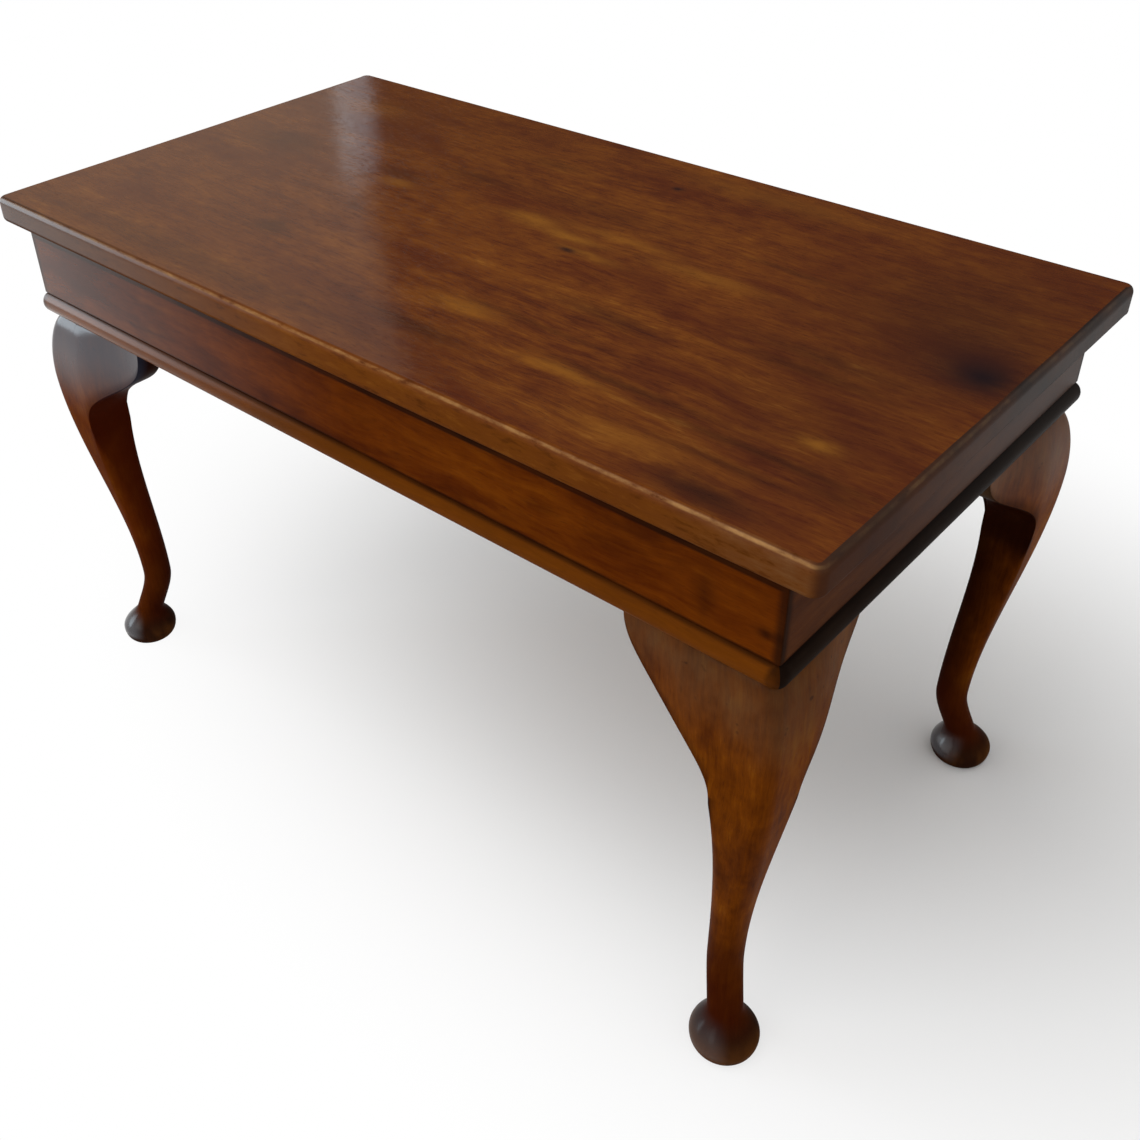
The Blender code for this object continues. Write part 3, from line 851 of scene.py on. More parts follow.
# %% [markdown]
# ## Rows of screws
#
# Each leaf and each batten has three screws in a row. Their slots stand at different angles, because a screw
# driven by hand stops where it bites. Heads move with the piece that they hold, but they are extras: none of
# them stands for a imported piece.

# %% rows of screws
LEAF_SCREW = 0.0023                    # radius of a head
LEAF_SCREW_SPREAD = 0.022
LEAF_SLOTS = {"box": (20, 75, -40), "lid": (-15, 50, 88)}   # degrees by which slots are turned
BATTEN_SCREW = 0.0042
BATTEN_SCREW_SPREAD = 0.120
BATTEN_SLOTS = (35, -60, 5)


def leaf_screws(node, leaf_word, way, word):
    """Three screws in a row on the flat of a leaf."""
    low, high = corners_of(node)
    height = ((high[2] if way > 0 else low[2]) + pivot_z + way * barrel) / 2
    spots = [((low[0] + high[0]) / 2 + share * LEAF_SCREW_SPREAD, pivot_y - barrel + LEAF_THICKNESS, height)
             for share in (-1, 0, 1)]
    return screws(leaf_word + "_leaf_screws_" + word, spots, (0, 1, 0), LEAF_SLOTS[leaf_word], LEAF_SCREW)


def batten_screws(node, word):
    """Three screws along the underside of a batten."""
    low, high = corners_of(node)
    middle = (low + high) / 2
    spots = [(middle[0], middle[1] + share * BATTEN_SCREW_SPREAD, low[2]) for share in (-1, 0, 1)]
    return screws("batten_screws_" + word, spots, (0, 0, -1), BATTEN_SLOTS, BATTEN_SCREW)


for word in HANDS:
    for leaf_word, way in LEAVES:
        node = "hinge_" + leaf_word + "_leaf_" + word
        dress(leaf_screws(node, leaf_word, way, word), node, extra=True)
    dress(batten_screws("lid_batten_" + word, word), "lid_batten_" + word, extra=True)
print("objects with screw heads:", sum("_screws_" in name for name in dressed))

# %% [markdown]
# ## Shader sums
#
# A wood finish is mostly sums: noise stretched along the grain, masks, and mixes between colours. Wiring
# them by hand hides the formula. So a small class wraps one socket, and ordinary operators on it add the
# Math nodes. Everything else goes through one method that makes any node.

# %% shader sums
class Wire:
    """One socket of a tree of nodes, used in sums as if it were a number."""

    def __init__(self, tree, socket=None):
        self.tree = tree
        self.socket = socket

    def fill(self, made, values):
        """Give inputs of a node a number, a colour or another wire each."""
        for key, value in dict(values).items():
            if isinstance(value, Wire):
                self.tree.links.new(value.socket, made.inputs[key])
            else:
                made.inputs[key].default_value = value

    def node(self, kind, settings=(), inputs=(), output=0):
        """Add a node: its settings come first, then its inputs. The wire of one output comes back."""
        made = self.tree.nodes.new("ShaderNode" + kind)
        for name, value in dict(settings).items():
            if name == "stops":
                set_stops(made.color_ramp, value)
            else:
                setattr(made, name, value)
        self.fill(made, inputs)
        return Wire(self.tree, made.outputs[output])

    def math(self, operation, first, second=0.0):
        return self.node("Math", {"operation": operation}, {0: first, 1: second})

    def __add__(self, other):
        return self.math("ADD", self, other)

    def __sub__(self, other):
        return self.math("SUBTRACT", self, other)

    def __rsub__(self, other):
        return self.math("SUBTRACT", other, self)

    def __mul__(self, other):
        return self.math("MULTIPLY", self, other)

    def __abs__(self):
        return self.math("ABSOLUTE", self)

    __radd__ = __add__
    __rmul__ = __mul__

    def most(self, other):
        return self.math("MAXIMUM", self, other)

    def least(self, other):
        return self.math("MINIMUM", self, other)

    def step(self, low, high):
        """0 up to low, 1 from high on, and a smooth step between; low may be the larger."""
        return self.node("MapRange", {"interpolation_type": "SMOOTHSTEP"}, {0: self, 1: low, 2: high})


def set_stops(band, stops):
    """Stops of a colour ramp, as (place, colour) pairs."""
    band.elements.remove(band.elements[1])
    for number, (place, colour) in enumerate(stops):
        stop = band.elements[0] if number == 0 else band.elements.new(place)
        stop.position = place
        stop.color = colour


print("shader sums ready")

# %% [markdown]
# ## Noise and new materials
#
# Noise gives wood its figure and brass its tarnish. It is read at a place made of three wires, so scaling one
# of them stretches it. Each new material starts from the Object coordinates of the piece that wears it. They
# stay with the piece, so the grain turns with the lid when it opens.

# %% noise and new materials
def noise(x, y, z, detail=2.0, roughness=0.5):
    """Noise about 0, one lump for each unit of x, y and z."""
    spot = x.node("CombineXYZ", (), {0: x, 1: y, 2: z})
    field = spot.node("TexNoise", (), {
        "Vector": spot, "Scale": 1.0, "Detail": detail, "Roughness": roughness})
    return field - 0.5


def new_material(name):
    """Material with nodes: itself, its shader, and a wire for the Object coordinates of what wears it."""
    material = bpy.data.materials.new(name)
    material.use_nodes = True
    shader = material.node_tree.nodes["Principled BSDF"]
    place = Wire(material.node_tree).node("TexCoord", output="Object")
    return SimpleNamespace(material=material, shader=shader, place=place)


def parted(place):
    """Wires for the x, y and z of a place."""
    return [place.node("SeparateXYZ", (), {0: place}, output=number) for number in range(3)]


print("noise and materials ready")

# %% [markdown]
# ## Colours
#
# Colours are written as they read off a screen, 0 to 255, since that is how anyone would pick them, and are
# made linear for the shaders. A wood starts as a ramp from dark to pale browns. Stains are then laid over it
# one after the other, each with a share that says where it goes, as a polisher would build the colour up.

# %% colours
def tone(red, green, blue):
    """Colour read off a screen, 0 to 255, as the linear colour that shaders use."""
    share = np.array([red, green, blue]) / 255.0
    linear = np.where(share <= 0.04045, share / 12.92, ((share + 0.055) / 1.055) ** 2.4)
    return (*linear.tolist(), 1.0)


def ramp(value, places, tones):
    """Colour read off a ramp that has one tone at each place."""
    return value.node("ValToRGB", {"stops": tuple(zip(places, tones))}, {0: value})


def mix(share, first, second):
    """Colour that goes from the first to the second as the share goes from 0 to 1."""
    return share.node("Mix", {"data_type": "RGBA"}, {0: share, 6: first, 7: second}, output=2)


def stained(colour, *stains):
    """Colour with stains laid over it in turn, each a share and a tone."""
    for share, stain in stains:
        colour = mix(share, colour, stain)
    return colour


print("middle grey is", round(tone(128, 128, 128)[0], 3), "in linear light")

# %% [markdown]
# ## Polished mahogany
#
# The wood is warm brown with darker and golden streaks along the grain. The grain never runs quite straight,
# so each point first gets a lane: its distance across the grain, pushed aside by slow noise. Noise that is
# long in the grain's direction and narrow across the lanes then gives bands, streaks, flecks, fibres and
# pores. Rounder noise adds clouds and the mottle of old mahogany. Image textures could hold all this, but a
# formula on Object coordinates stays sharp at any distance and needs no unwrapping.

# %% grain and polish of the wood
def grain(name, axis, seed):
    """Start a wood material and work out its grain: noise in (along, lane), from long bands to fine fibres.

    lane = across + 0.9 deep + slow and quick wander. Pores are where a still finer noise is high.
    """
    wood = new_material(name)
    axes = parted(wood.place)
    wood.x, wood.y, wood.z = axes
    first = "XYZ".index(axis)
    along, across, deep = axes[first:] + axes[:first]
    slow = noise(along * 2.1, across * 5.0, deep * 5.0 + seed, 3.0)
    wood.quick = noise(along * 14.0, across * 26.0, deep * 26.0 + seed, 3.0)
    lane = across + deep * 0.9 + slow * 0.060 + wood.quick * 0.011
    wood.bands = noise(along * 2.6, lane * 17.0, seed, 3.0, 0.55)
    wood.streaks = noise(along * 8.5, lane * 80.0, seed + 3.1, 4.0, 0.62)
    wood.flecks = noise(along * 38.0, lane * 300.0, seed + 6.7, 3.0, 0.6)
    wood.fibres = noise(along * 80.0, lane * 1500.0, deep * 40.0 + seed, 2.0, 0.6)
    wood.pores = noise(along * 120.0, lane * 2300.0, along * 3.0, 1.0).step(0.12, 0.24)
    wood.clouds = noise(along * 12.0, across * 19.0, deep * 19.0 + seed, 3.0, 0.55)
    wood.mottle = noise(along * 48.0, across * 66.0, deep * 66.0 + seed, 3.0, 0.6)
    wood.shade = (0.5 + wood.bands * 0.8 + wood.streaks * 0.6 + wood.flecks * 0.45 + wood.fibres * 0.22
                  + wood.clouds * 0.5 + wood.mottle * 0.3)
    wood.along, wood.lane = along, lane
    return wood


def polish(wood, colour, dull, gloss, ior=1.45, wax=None, relief=1.0, wax_gloss=0.22, wax_ior=1.5):
    """Last step of every wood: colour, roughness and relief into the shader, and wax as a coat.

    Roughness is the gloss plus dull patches, flecks and clouds. Relief is pores, flecks, fibres and a ripple.
    """
    ripple = noise(wood.x * 34.0, wood.y * 34.0, wood.z * 34.0, 2.0)
    height = wood.fibres * 0.35 + wood.flecks * 0.3 - wood.pores * 0.6 + ripple * 2.2
    bump = height.node("Bump", (), {"Height": height, "Strength": 0.35 * relief, "Distance": 0.0003})
    rough = gloss + dull * 0.22 + wood.flecks * 0.10 + wood.clouds * 0.08
    wood.place.fill(wood.shader, {"Base Color": colour, "Roughness": rough, "Normal": bump, "IOR": ior})
    if wax is not None:
        wood.place.fill(wood.shader, {"Coat Weight": wax, "Coat Roughness": wax_gloss, "Coat IOR": wax_ior})
    return wood.material


def spot(place, centre, size):
    """Soft round mark on a flat face: e to the minus squared distance, in units of its size."""
    scale = (1.0 / size[0], 1.0 / size[1], 0.0)
    start = (-centre[0] / size[0], -centre[1] / size[1], 0.0)
    away = place.node("VectorMath", {"operation": "MULTIPLY_ADD"}, {0: place, 1: scale, 2: start})
    squared = away.node("VectorMath", {"operation": "DOT_PRODUCT"}, {0: away, 1: away}, output="Value")
    return squared.math("EXPONENT", 0.0 - squared)


print("grain, polish and spots ready")

# %% [markdown]
# ## Top of the lid
#
# The top is the face that everyone sees. Its figure is cloudy at the back and streaky towards the front
# right, with a golden feather near the middle, and it darkens to red at the right end. It carries marks of
# its own: a blue-black stain at the right edge, pin knots, dark smudges and streaks. Each mark is a soft
# round spot, stretched along the grain and made ragged by pushing its place about with noise. A painted
# texture could hold them too, but a list of spots can be read and changed one by one.

# %% top of the lid
LID_PLACES = (0.10, 0.34, 0.52, 0.70, 0.92)
LID_BROWNS = (tone(66, 30, 18), tone(93, 46, 22), tone(109, 58, 23), tone(124, 70, 25), tone(150, 96, 38))
# each mark is its middle, its half length and half width, and its strength
LID_FLAMES = (((-0.010, 0.030), (0.026, 0.009), 0.60), ((0.040, 0.022), (0.030, 0.007), 0.65),
              ((0.070, 0.045), (0.050, 0.008), 0.35), ((0.070, 0.004), (0.032, 0.006), 0.45),
              ((0.165, 0.028), (0.050, 0.009), 0.40), ((0.054, -0.122), (0.030, 0.010), 0.45),
              ((0.174, -0.151), (0.036, 0.006), 0.50), ((0.255, -0.190), (0.045, 0.010), 0.28),
              ((0.353, -0.122), (0.012, 0.006), 0.75), ((-0.325, 0.142), (0.040, 0.020), 0.25),
              ((-0.163, 0.018), (0.018, 0.008), 0.40), ((0.120, 0.190), (0.090, 0.016), 0.25))
LID_SMUDGES = (((0.345, 0.080), (0.085, 0.090), 0.50), ((0.300, -0.026), (0.060, 0.010), 0.45),
               ((0.050, -0.168), (0.045, 0.010), 0.60), ((0.326, -0.209), (0.036, 0.012), 0.85),
               ((0.144, -0.069), (0.050, 0.009), 0.45), ((-0.110, 0.071), (0.034, 0.010), 0.40),
               ((0.205, 0.078), (0.040, 0.004), 0.40), ((-0.175, 0.036), (0.028, 0.008), 0.40),
               ((-0.070, 0.138), (0.032, 0.010), 0.35), ((-0.174, -0.116), (0.020, 0.012), 0.55),
               ((-0.324, 0.024), (0.045, 0.024), 0.40), ((-0.180, -0.200), (0.240, 0.020), 0.35),
               ((0.020, 0.080), (0.080, 0.020), 0.25), ((0.340, -0.100), (0.090, 0.075), 0.22))
LID_STREAKS = (((0.220, -0.139), (0.062, 0.0045), 0.62), ((0.335, -0.152), (0.075, 0.0045), 0.66),
               ((0.300, -0.047), (0.055, 0.0070), 0.50), ((0.320, -0.176), (0.050, 0.0045), 0.55),
               ((0.385, -0.163), (0.022, 0.0070), 0.50), ((0.120, -0.110), (0.070, 0.0035), 0.40))
LID_STAINS = (((0.391, 0.018), (0.023, 0.021), 0.92), ((0.380, 0.032), (0.042, 0.040), 0.42),
              ((0.0434, 0.160), (0.0055, 0.0040), 0.85), ((0.050, 0.001), (0.008, 0.0040), 0.80))
LID_MARKS = ((LID_FLAMES, tone(158, 102, 34), 1.0), (LID_SMUDGES, tone(55, 29, 20), 1.0),
             (LID_STREAKS, tone(54, 27, 18), 0.4), (LID_STAINS, tone(30, 21, 25), 0.25))


def lid_wood(name):
    """Lid: ramp of browns by grain shade, with streaks that grow towards the front right."""
    wood = grain(name, "X", 1.3)
    streaky = wood.x.step(-0.10, 0.22) * wood.y.step(0.03, -0.07)
    patches = noise(wood.x * 5.0, wood.y * 13.0 + wood.x * 3.0, wood.quick * 0.6 + 5.0, 3.0, 0.6)
    shade = 0.5 + 0.80 * (wood.shade - 0.5 + wood.streaks * streaky * 0.7 - wood.bands * 0.3
                          + wood.mottle * 0.3 + patches * 0.5 + wood.flecks * 0.25 + wood.fibres * 0.3)
    return wood, stained(ramp(shade, LID_PLACES, LID_BROWNS),
                         (patches.step(0.02, -0.16) * 0.45, tone(84, 36, 20)),
                         (wood.x.step(0.10, 0.38) * 0.30, tone(86, 39, 22)),
                         (wood.x.step(0.05, -0.30) * 0.32, tone(98, 54, 26)))


def lid_top_finish():
    """Top: the lid's wood with four kinds of marks, more or less torn by noise, under a full polish."""
    wood, colour = lid_wood("lid_mahogany_top")
    for marks, stain, torn in LID_MARKS:
        ragged = wood.x.node("CombineXYZ", (), {
            0: wood.x + (wood.clouds * 0.024 + wood.flecks * 0.020) * torn,
            1: wood.y + (wood.quick * 0.010 + wood.mottle * 0.012) * torn})
        for centre, size, strength in marks:
            colour = mix(spot(ragged, centre, size) * strength, colour, stain)
    colour = mix(wood.pores * 0.45, colour, tone(44, 22, 12))
    return polish(wood, colour, wood.bands * 0.1, 0.085, relief=0.55)


lid.data.materials.append(lid_top_finish())
print("marks on the lid:", sum(len(marks) for marks, stain, torn in LID_MARKS))

# %% [markdown]
# ## Edge and underside of the lid
#
# The edge gets a finish of its own, because it is rubbed golden and hardly shines: hands and cloths take the
# polish off an edge first. Its upper line is rubbed palest and also carries a painted highlight, its lower
# round has painted shade, and the right end has little wax and painted shade that greys towards the back as a
# painted reflection. Some wax is left towards the left of the front, over a dark grey painted there for the
# reflection's colour. The underside was never polished at all. All of this could be separate materials on
# separate faces, but masks by depth and distance fade into each other.

# %% edge and underside of the lid
WEAK_IOR = 1.03                        # worn polish, which hardly mirrors anything
WORN_GLOSS = 0.40
# pairs of distances in metres: where a mask is 0, and where it is 1
UPPER_ROUND = (0.0060, 0.0005)         # below the top
RUBBED_AND_LIT_LINE = ((0.0022, 0.0012), (0.0002, 0.0007))   # below the top, its lower side and its upper side
LOWER_ROUND = (0.0038, 0.0008)         # above the underside
UNDERSIDE = (0.0010, 0.0003)           # above the underside
UNDERSIDE_INSET = (0.006, 0.010)       # in from the edges
WAX_FOOT = (0.007, 0.004)              # above the underside
FRONT_STRIP = (0.020, 0.009)           # in from the front
END_STRIP = (0.030, 0.020)             # in from the right end
END_MITRE = (-0.010, 0.002)            # in from the front, less in from the right end
TOP_FACE = 0.00002                     # faces nearer to the top than this belong to it


def lid_edge_finish():
    """Edge: rubbed golden wood, painted shade under the lower round and at the end, wax most at the front's
    left.
    """
    wood, colour = lid_wood("lid_mahogany_edge")
    below, above = lid_high[2] - wood.z, wood.z - lid_low[2]
    from_front, from_right = wood.y - lid_low[1], lid_high[0] - wood.x
    rise = below.step(*UPPER_ROUND)
    end = (from_front - from_right).step(*END_MITRE) * from_right.step(*END_STRIP)
    front = from_front.step(*FRONT_STRIP) * (1.0 - end)
    left = wood.x.step(0.06, -0.48)
    far = wood.y.step(-0.24, 0.10)
    scuffs = noise(wood.x * 55.0, wood.y * 55.0, wood.z * 230.0, 4.0, 0.65)
    rubbed = wood.x.step(0.29, 0.42) * front
    # pale line along the upper arris: rubbed wear, and a painted highlight as well
    wear_and_highlight = below.step(*RUBBED_AND_LIT_LINE[0]) * below.step(*RUBBED_AND_LIT_LINE[1])
    # painted shade on the right end, greying towards the back as a painted reflection, greyer on the upper
    # round
    end_shade_and_haze = mix(rise, mix(far, tone(62, 36, 25), tone(34, 29, 27)),
                   mix(far, tone(54, 41, 34), tone(38, 35, 34)))
    inset = (lid_high[0] - abs(wood.x)).least(from_front)
    bare = above.step(*UNDERSIDE) * inset.step(*UNDERSIDE_INSET)
    bare_wood = mix(wood.shade.step(0.15, 0.85), tone(94, 58, 34), tone(142, 98, 62))
    colour = stained(colour,
                     ((1.0 - rise * 0.5) * (0.75 + wood.streaks * 0.9), tone(106, 57, 12)),
                     (scuffs.step(0.02, 0.20) * 0.42, tone(126, 74, 24)),
                     (scuffs.step(-0.03, -0.20) * 0.55, tone(66, 32, 8)),
                     (rubbed * (0.30 + scuffs * 1.5), tone(108, 78, 52)),
                     (wear_and_highlight * (0.34 + scuffs * 2.4 + rubbed * 0.4), tone(168, 124, 74)),
                     # painted reflection colour: dark grey under the wax at the front's left, so the mirrored
                     # window reads blue-grey
                     (front * left * 0.65, tone(44, 34, 30)),
                     (end * (0.85 + wood.clouds * 0.7), end_shade_and_haze),
                     # painted shade on the downward-facing lower round
                     (above.step(*LOWER_ROUND) * 0.92, tone(28, 11, 3)),
                     (bare * 0.95, bare_wood))
    wax = front * left + (1.0 - front) * (0.03 + 0.15 * far)
    wax = wax.most(rise * front * (0.12 + left * 0.88)) * (1.0 - above.step(*WAX_FOOT))
    return polish(wood, colour, wood.bands * 0.7 + bare * 1.6, WORN_GLOSS, WEAK_IOR, wax)


lid.data.materials.append(lid_edge_finish())
face_middles = np.empty(len(lid.data.polygons) * 3)
lid.data.polygons.foreach_get("center", face_middles)
on_edge = face_middles[2::3] < lid_high[2] - TOP_FACE
lid.data.polygons.foreach_set("material_index", on_edge.astype(np.int32))
print("lid finishes:", [material.name for material in lid.data.materials], "edge faces:", int(on_edge.sum()))

# %% [markdown]
# ## Finish of the box and base frame
#
# The boards are the same wood, a little more orange, cut so that the grain runs along each side, with darker
# and paler patches. Dark lines are drawn where boards meet the moulding and at the mitred corners, and a
# painted shadow runs along the front just below the lid. The long mouldings carry a painted golden highlight
# along their top. Inside, the boards are bare. One function makes all three finishes, for the long sides, the
# end boards and the end mouldings. The ends' darker browns, near black on the mouldings, are painted shade,
# greying towards the back as a painted reflection.

# %% box finish
BOX_PLACES = (0.08, 0.36, 0.58, 0.90)
LONG_BROWNS = (tone(58, 19, 2), tone(83, 33, 2), tone(99, 44, 3), tone(120, 61, 7))
# the ends' browns are darker as painted shade, and the end mouldings are painted near black as shade
SHADED_END_BROWNS = (tone(50, 25, 11), tone(68, 34, 15), tone(80, 42, 18), tone(96, 54, 24))
SHADED_RAIL_BROWNS = (tone(20, 13, 9), tone(28, 19, 14), tone(35, 25, 18), tone(46, 33, 24))
FRONT_MARKS = (((0.381, 0.429), (0.006, 0.004), 0.85), ((0.338, 0.436), (0.007, 0.018), 0.45))
SEAM_DROP = 0.0004                     # middle of the seam, below the foot of the boards
# pairs of distances in metres: where a mask is 0, and where it is 1
SEAM_WIDTH = (0.0030, 0.0010)          # off the middle of the seam
MITRE_WIDTH = (0.0085, 0.0025)         # off both faces at a corner
MOULDING_TOP = (0.0, 0.002)            # below the foot of the boards
# painted shadow line on the front, just below the lid's overhang
LID_SHADOW_LINE = (0.0126, 0.0106)            # below the top of the boards
LID_SHADOW_DEPTH = (0.008, 0.004)        # in from the front face
INNER_FACE = (0.0015, 0.0004)          # out from the inner faces of the boards
inner_half = box_half - board_depth


def long_side_marks(wood, colour):
    """Long sides: a painted golden highlight on top of the moulding, with two dark marks near the right of the
    front.
    """
    upright = wood.x.node("CombineXYZ", (), {0: wood.x + wood.mottle * 0.004, 1: wood.z})
    in_front = wood.y.step(0.05, -0.05)
    # painted highlight: golden band along the top of the moulding's nose
    colour = mix((board_foot - wood.z).step(*MOULDING_TOP) * 0.45, colour, tone(116, 66, 16))
    return stained(colour, *((spot(upright, centre, size) * in_front * strength, tone(40, 14, 3))
                             for centre, size, strength in FRONT_MARKS))


def box_finish(name, axis, seed, browns, wax_from, wax_to):
    """Box wood: ramp of browns, dark lines and a painted shadow under the lid, bare inside, wax from one
    amount to another.
    """
    wood = grain(name, axis, seed)
    patches = noise(wood.along * 8.0, wood.lane * 30.0, wood.quick * 0.8 + seed, 3.0, 0.6)
    colour = stained(ramp(wood.shade, BOX_PLACES, browns),
                     (patches.step(0.0, 0.20) * 0.60, browns[0]),
                     (patches.step(-0.03, -0.22) * 0.45, browns[3]),
                     (wood.pores * 0.45, tone(36, 15, 6)))
    if axis == "X":
        colour = long_side_marks(wood, colour)
    off_middle = abs(wood.x), abs(wood.y - box_middle)
    seam = abs(wood.z - (board_foot - SEAM_DROP)).step(*SEAM_WIDTH)
    lid_shadow = (board_top - wood.z).step(*LID_SHADOW_LINE) * (wood.y - box_front).step(*LID_SHADOW_DEPTH)
    to_faces = [abs(off - half) for off, half in zip(off_middle, box_half)]
    mitre = to_faces[0].most(to_faces[1]).step(*MITRE_WIDTH)
    # dark lines at the seam and the mitres, with the painted shadow under the lid
    lines_and_lid_shadow = (seam * 0.8).most(lid_shadow * 0.95).most(mitre * 0.9) * (0.88 + wood.clouds)
    to_inner = [(off - half).step(*INNER_FACE) for off, half in zip(off_middle, inner_half)]
    inside = to_inner[0] * to_inner[1]
    bare_wood = mix(wood.shade.step(0.15, 0.85), tone(104, 68, 41), tone(150, 108, 71))
    colour = stained(colour, (lines_and_lid_shadow * 0.85, tone(20, 10, 6)), (inside * 0.95, bare_wood))
    share = wood.x.step(0.04, -0.50) if axis == "X" else wood.y.step(-0.24, 0.20)
    # painted reflection: the end boards and end mouldings grey towards the back
    if axis == "Y":
        colour = mix(share * 0.55 * (1.0 - inside), colour, tone(34, 28, 25))
    wax = (wax_from + (wax_to - wax_from) * share) * (1.0 - inside)
    dull = wood.bands * 0.6 + inside * 1.6 + lines_and_lid_shadow * 0.6
    return polish(wood, colour, dull, WORN_GLOSS, WEAK_IOR, wax)


long_finish = box_finish("box_mahogany_long", "X", 4.2, LONG_BROWNS, 0.01, 1.0)
shaded_end_finish = box_finish("box_mahogany_end", "Y", 7.9, SHADED_END_BROWNS, 0.03, 0.20)
shaded_rail_finish = box_finish("base_mahogany_end", "Y", 8.6, SHADED_RAIL_BROWNS, 0.01, 0.07)
for word, along_x, side in SIDES:
    dressed["board_" + word].data.materials.append(long_finish if along_x else shaded_end_finish)
    dressed["moulding_" + word].data.materials.append(long_finish if along_x else shaded_rail_finish)
print("box finishes:", long_finish.name, shaded_end_finish.name, shaded_rail_finish.name)

# %% [markdown]
# ## Finish of the legs
#
# On the legs the grain runs up and down, under the blotches of an old stain. The ankles are redder and the
# hidden faces carry painted shade. A brown film of dust lies on the knees at the right, and the front left
# knee has a painted blue-grey gleam on its front face. The pads are dark where mops have reached them, brown
# again round the worn sole, and keep some wax on the side towards the light, with a painted blue-grey sheen
# there.
# Each of these is a zone of height, or a side of the foot, so one material can serve all legs and ears.

# %% leg finish
LEG_PLACES = (0.08, 0.36, 0.58, 0.90)
LEG_BROWNS = (tone(56, 20, 2), tone(88, 40, 3), tone(108, 53, 4), tone(138, 80, 12))
# pairs of heights in metres: where a mask is 0, and where it is 1
ANKLE_ZONE = (0.160, 0.060)
PAD_ZONE = (0.038, 0.018)
LIT_ABOVE = (0.006, 0.014)
SOLE_ZONE = (0.026, 0.012)
KNEE_ZONE = (knee_height - 0.045, knee_height + 0.035)
CROWN_ZONE = (knee_height - 0.022, knee_height + 0.045)
DUST_ZONE = (0.322, 0.374)
KNEE_FRONT = (0.006, -0.006)           # across the foot's axis, from the back to the front half of a knee
LIT_SIDE = (-0.002, 0.014)             # off the foot's axis, towards the light
LIGHT_WAY = (-0.74, -0.67)             # direction of the light in x and y


def leg_finish():
    """Leg wood: browns, red ankles, dark pads, painted shade and gleams, with wax on the knees and pads."""
    wood = grain("leg_mahogany_polished", "Z", 11.4)
    blotch = noise(wood.x * 24.0, wood.y * 24.0, wood.z * 13.0 + 2.0, 3.0, 0.6)
    shade = wood.shade - wood.bands * 0.5 - wood.streaks * 0.35 + blotch * 0.8 + wood.mottle * 0.3
    left, back = wood.x.step(0.0, -0.2), wood.y.step(0.0, 0.2)
    near = 1.0 - left.most(back)
    foot_x = wood.x - (1.0 - left * 2.0) * foot_place[0]
    foot_y = wood.y - (box_middle + (back * 2.0 - 1.0) * foot_place[1])
    ankle, pad, sole = (wood.z.step(*zone) for zone in (ANKLE_ZONE, PAD_ZONE, SOLE_ZONE))
    knee, crown = (wood.z.step(*zone) for zone in (KNEE_ZONE, CROWN_ZONE))
    worn = (blotch + wood.clouds + near * 0.22).step(-0.05, 0.25)
    hidden = wood.x.node("Attribute", {"attribute_name": "hidden"}, output="Fac") * (1.0 - pad)
    dust = (wood.z + wood.clouds * 0.08 + blotch * 0.05).step(*DUST_ZONE)
    dents = noise(wood.x * 130.0, wood.y * 130.0, wood.z * 130.0, 1.0).step(0.20, 0.27)
    # painted gleam: blue-grey on the front face of the front left knee, standing in for a mirrored window
    painted_gleam = crown * left * (1.0 - back) * foot_y.step(*KNEE_FRONT)
    lit = (foot_x * LIGHT_WAY[0] + foot_y * LIGHT_WAY[1]).step(*LIT_SIDE) * wood.z.step(*LIT_ABOVE)
    lit = lit * (1.0 - near * 0.65)
    colour = stained(ramp(shade, LEG_PLACES, LEG_BROWNS),
                     (wood.pores * 0.45, tone(38, 17, 8)),
                     (ankle * (0.72 + wood.clouds * 1.2), tone(52, 14, 4)),
                     (pad * 0.88, mix(sole * worn, tone(38, 21, 13), tone(84, 50, 22))),
                     # painted shade on the hidden faces, read from the hidden attribute
                     (hidden * 0.94, mix(ankle, tone(20, 3, 2), tone(44, 12, 4))),
                     (left * (1.0 - knee) * (1.0 - ankle) * 0.50, tone(80, 25, 5)),
                     (dust * (1.0 - left) * (0.44 + wood.mottle * 0.9), tone(80, 60, 40)),
                     (dents * dust * 0.55, tone(36, 25, 18)),
                     (painted_gleam * 0.85, tone(42, 44, 56)),
                     # painted highlight: blue-grey sheen on the pads' side towards the light
                     (pad * lit * 0.6, tone(44, 46, 54)))
    knee_wax = 0.04 + left * (0.96 - back * 0.70) + back * 0.18
    wax = ((knee * 0.5 + crown * 0.5) * knee_wax * (1.0 - hidden)).most(pad * lit)
    return polish(wood, colour, wood.bands * 0.6, WORN_GLOSS, WEAK_IOR, wax,
                  relief=0.8, wax_gloss=0.20, wax_ior=1.65)


leg_material = leg_finish()
for name, piece in dressed.items():
    if name.startswith(("cabriole_", "bracket_")):
        piece.data.materials.append(leg_material)
print("leg finish:", len(leg_material.node_tree.nodes), "nodes")

# %% [markdown]
# ## Bare wood, panel and brass
#
# Hidden joiner's pieces stay bare: planed hardwood for battens and blocks, thin board for the bottom. The
# hinges are brass that has dulled brown away from the rubbed places. A metal with one colour and one
# roughness looks new, so cloudy noise mixes tarnish in, and fine scratches run along the leaves.

# %% bare wood and brass
BARE_PLACES = (0.10, 0.50, 0.90)
PLANED_X_BROWNS = (tone(112, 78, 48), tone(140, 103, 68), tone(164, 126, 88))
PLANED_Y_BROWNS = (tone(104, 72, 44), tone(134, 97, 63), tone(160, 121, 84))
PANEL_BROWNS = (tone(138, 100, 62), tone(160, 121, 79), tone(180, 142, 98))


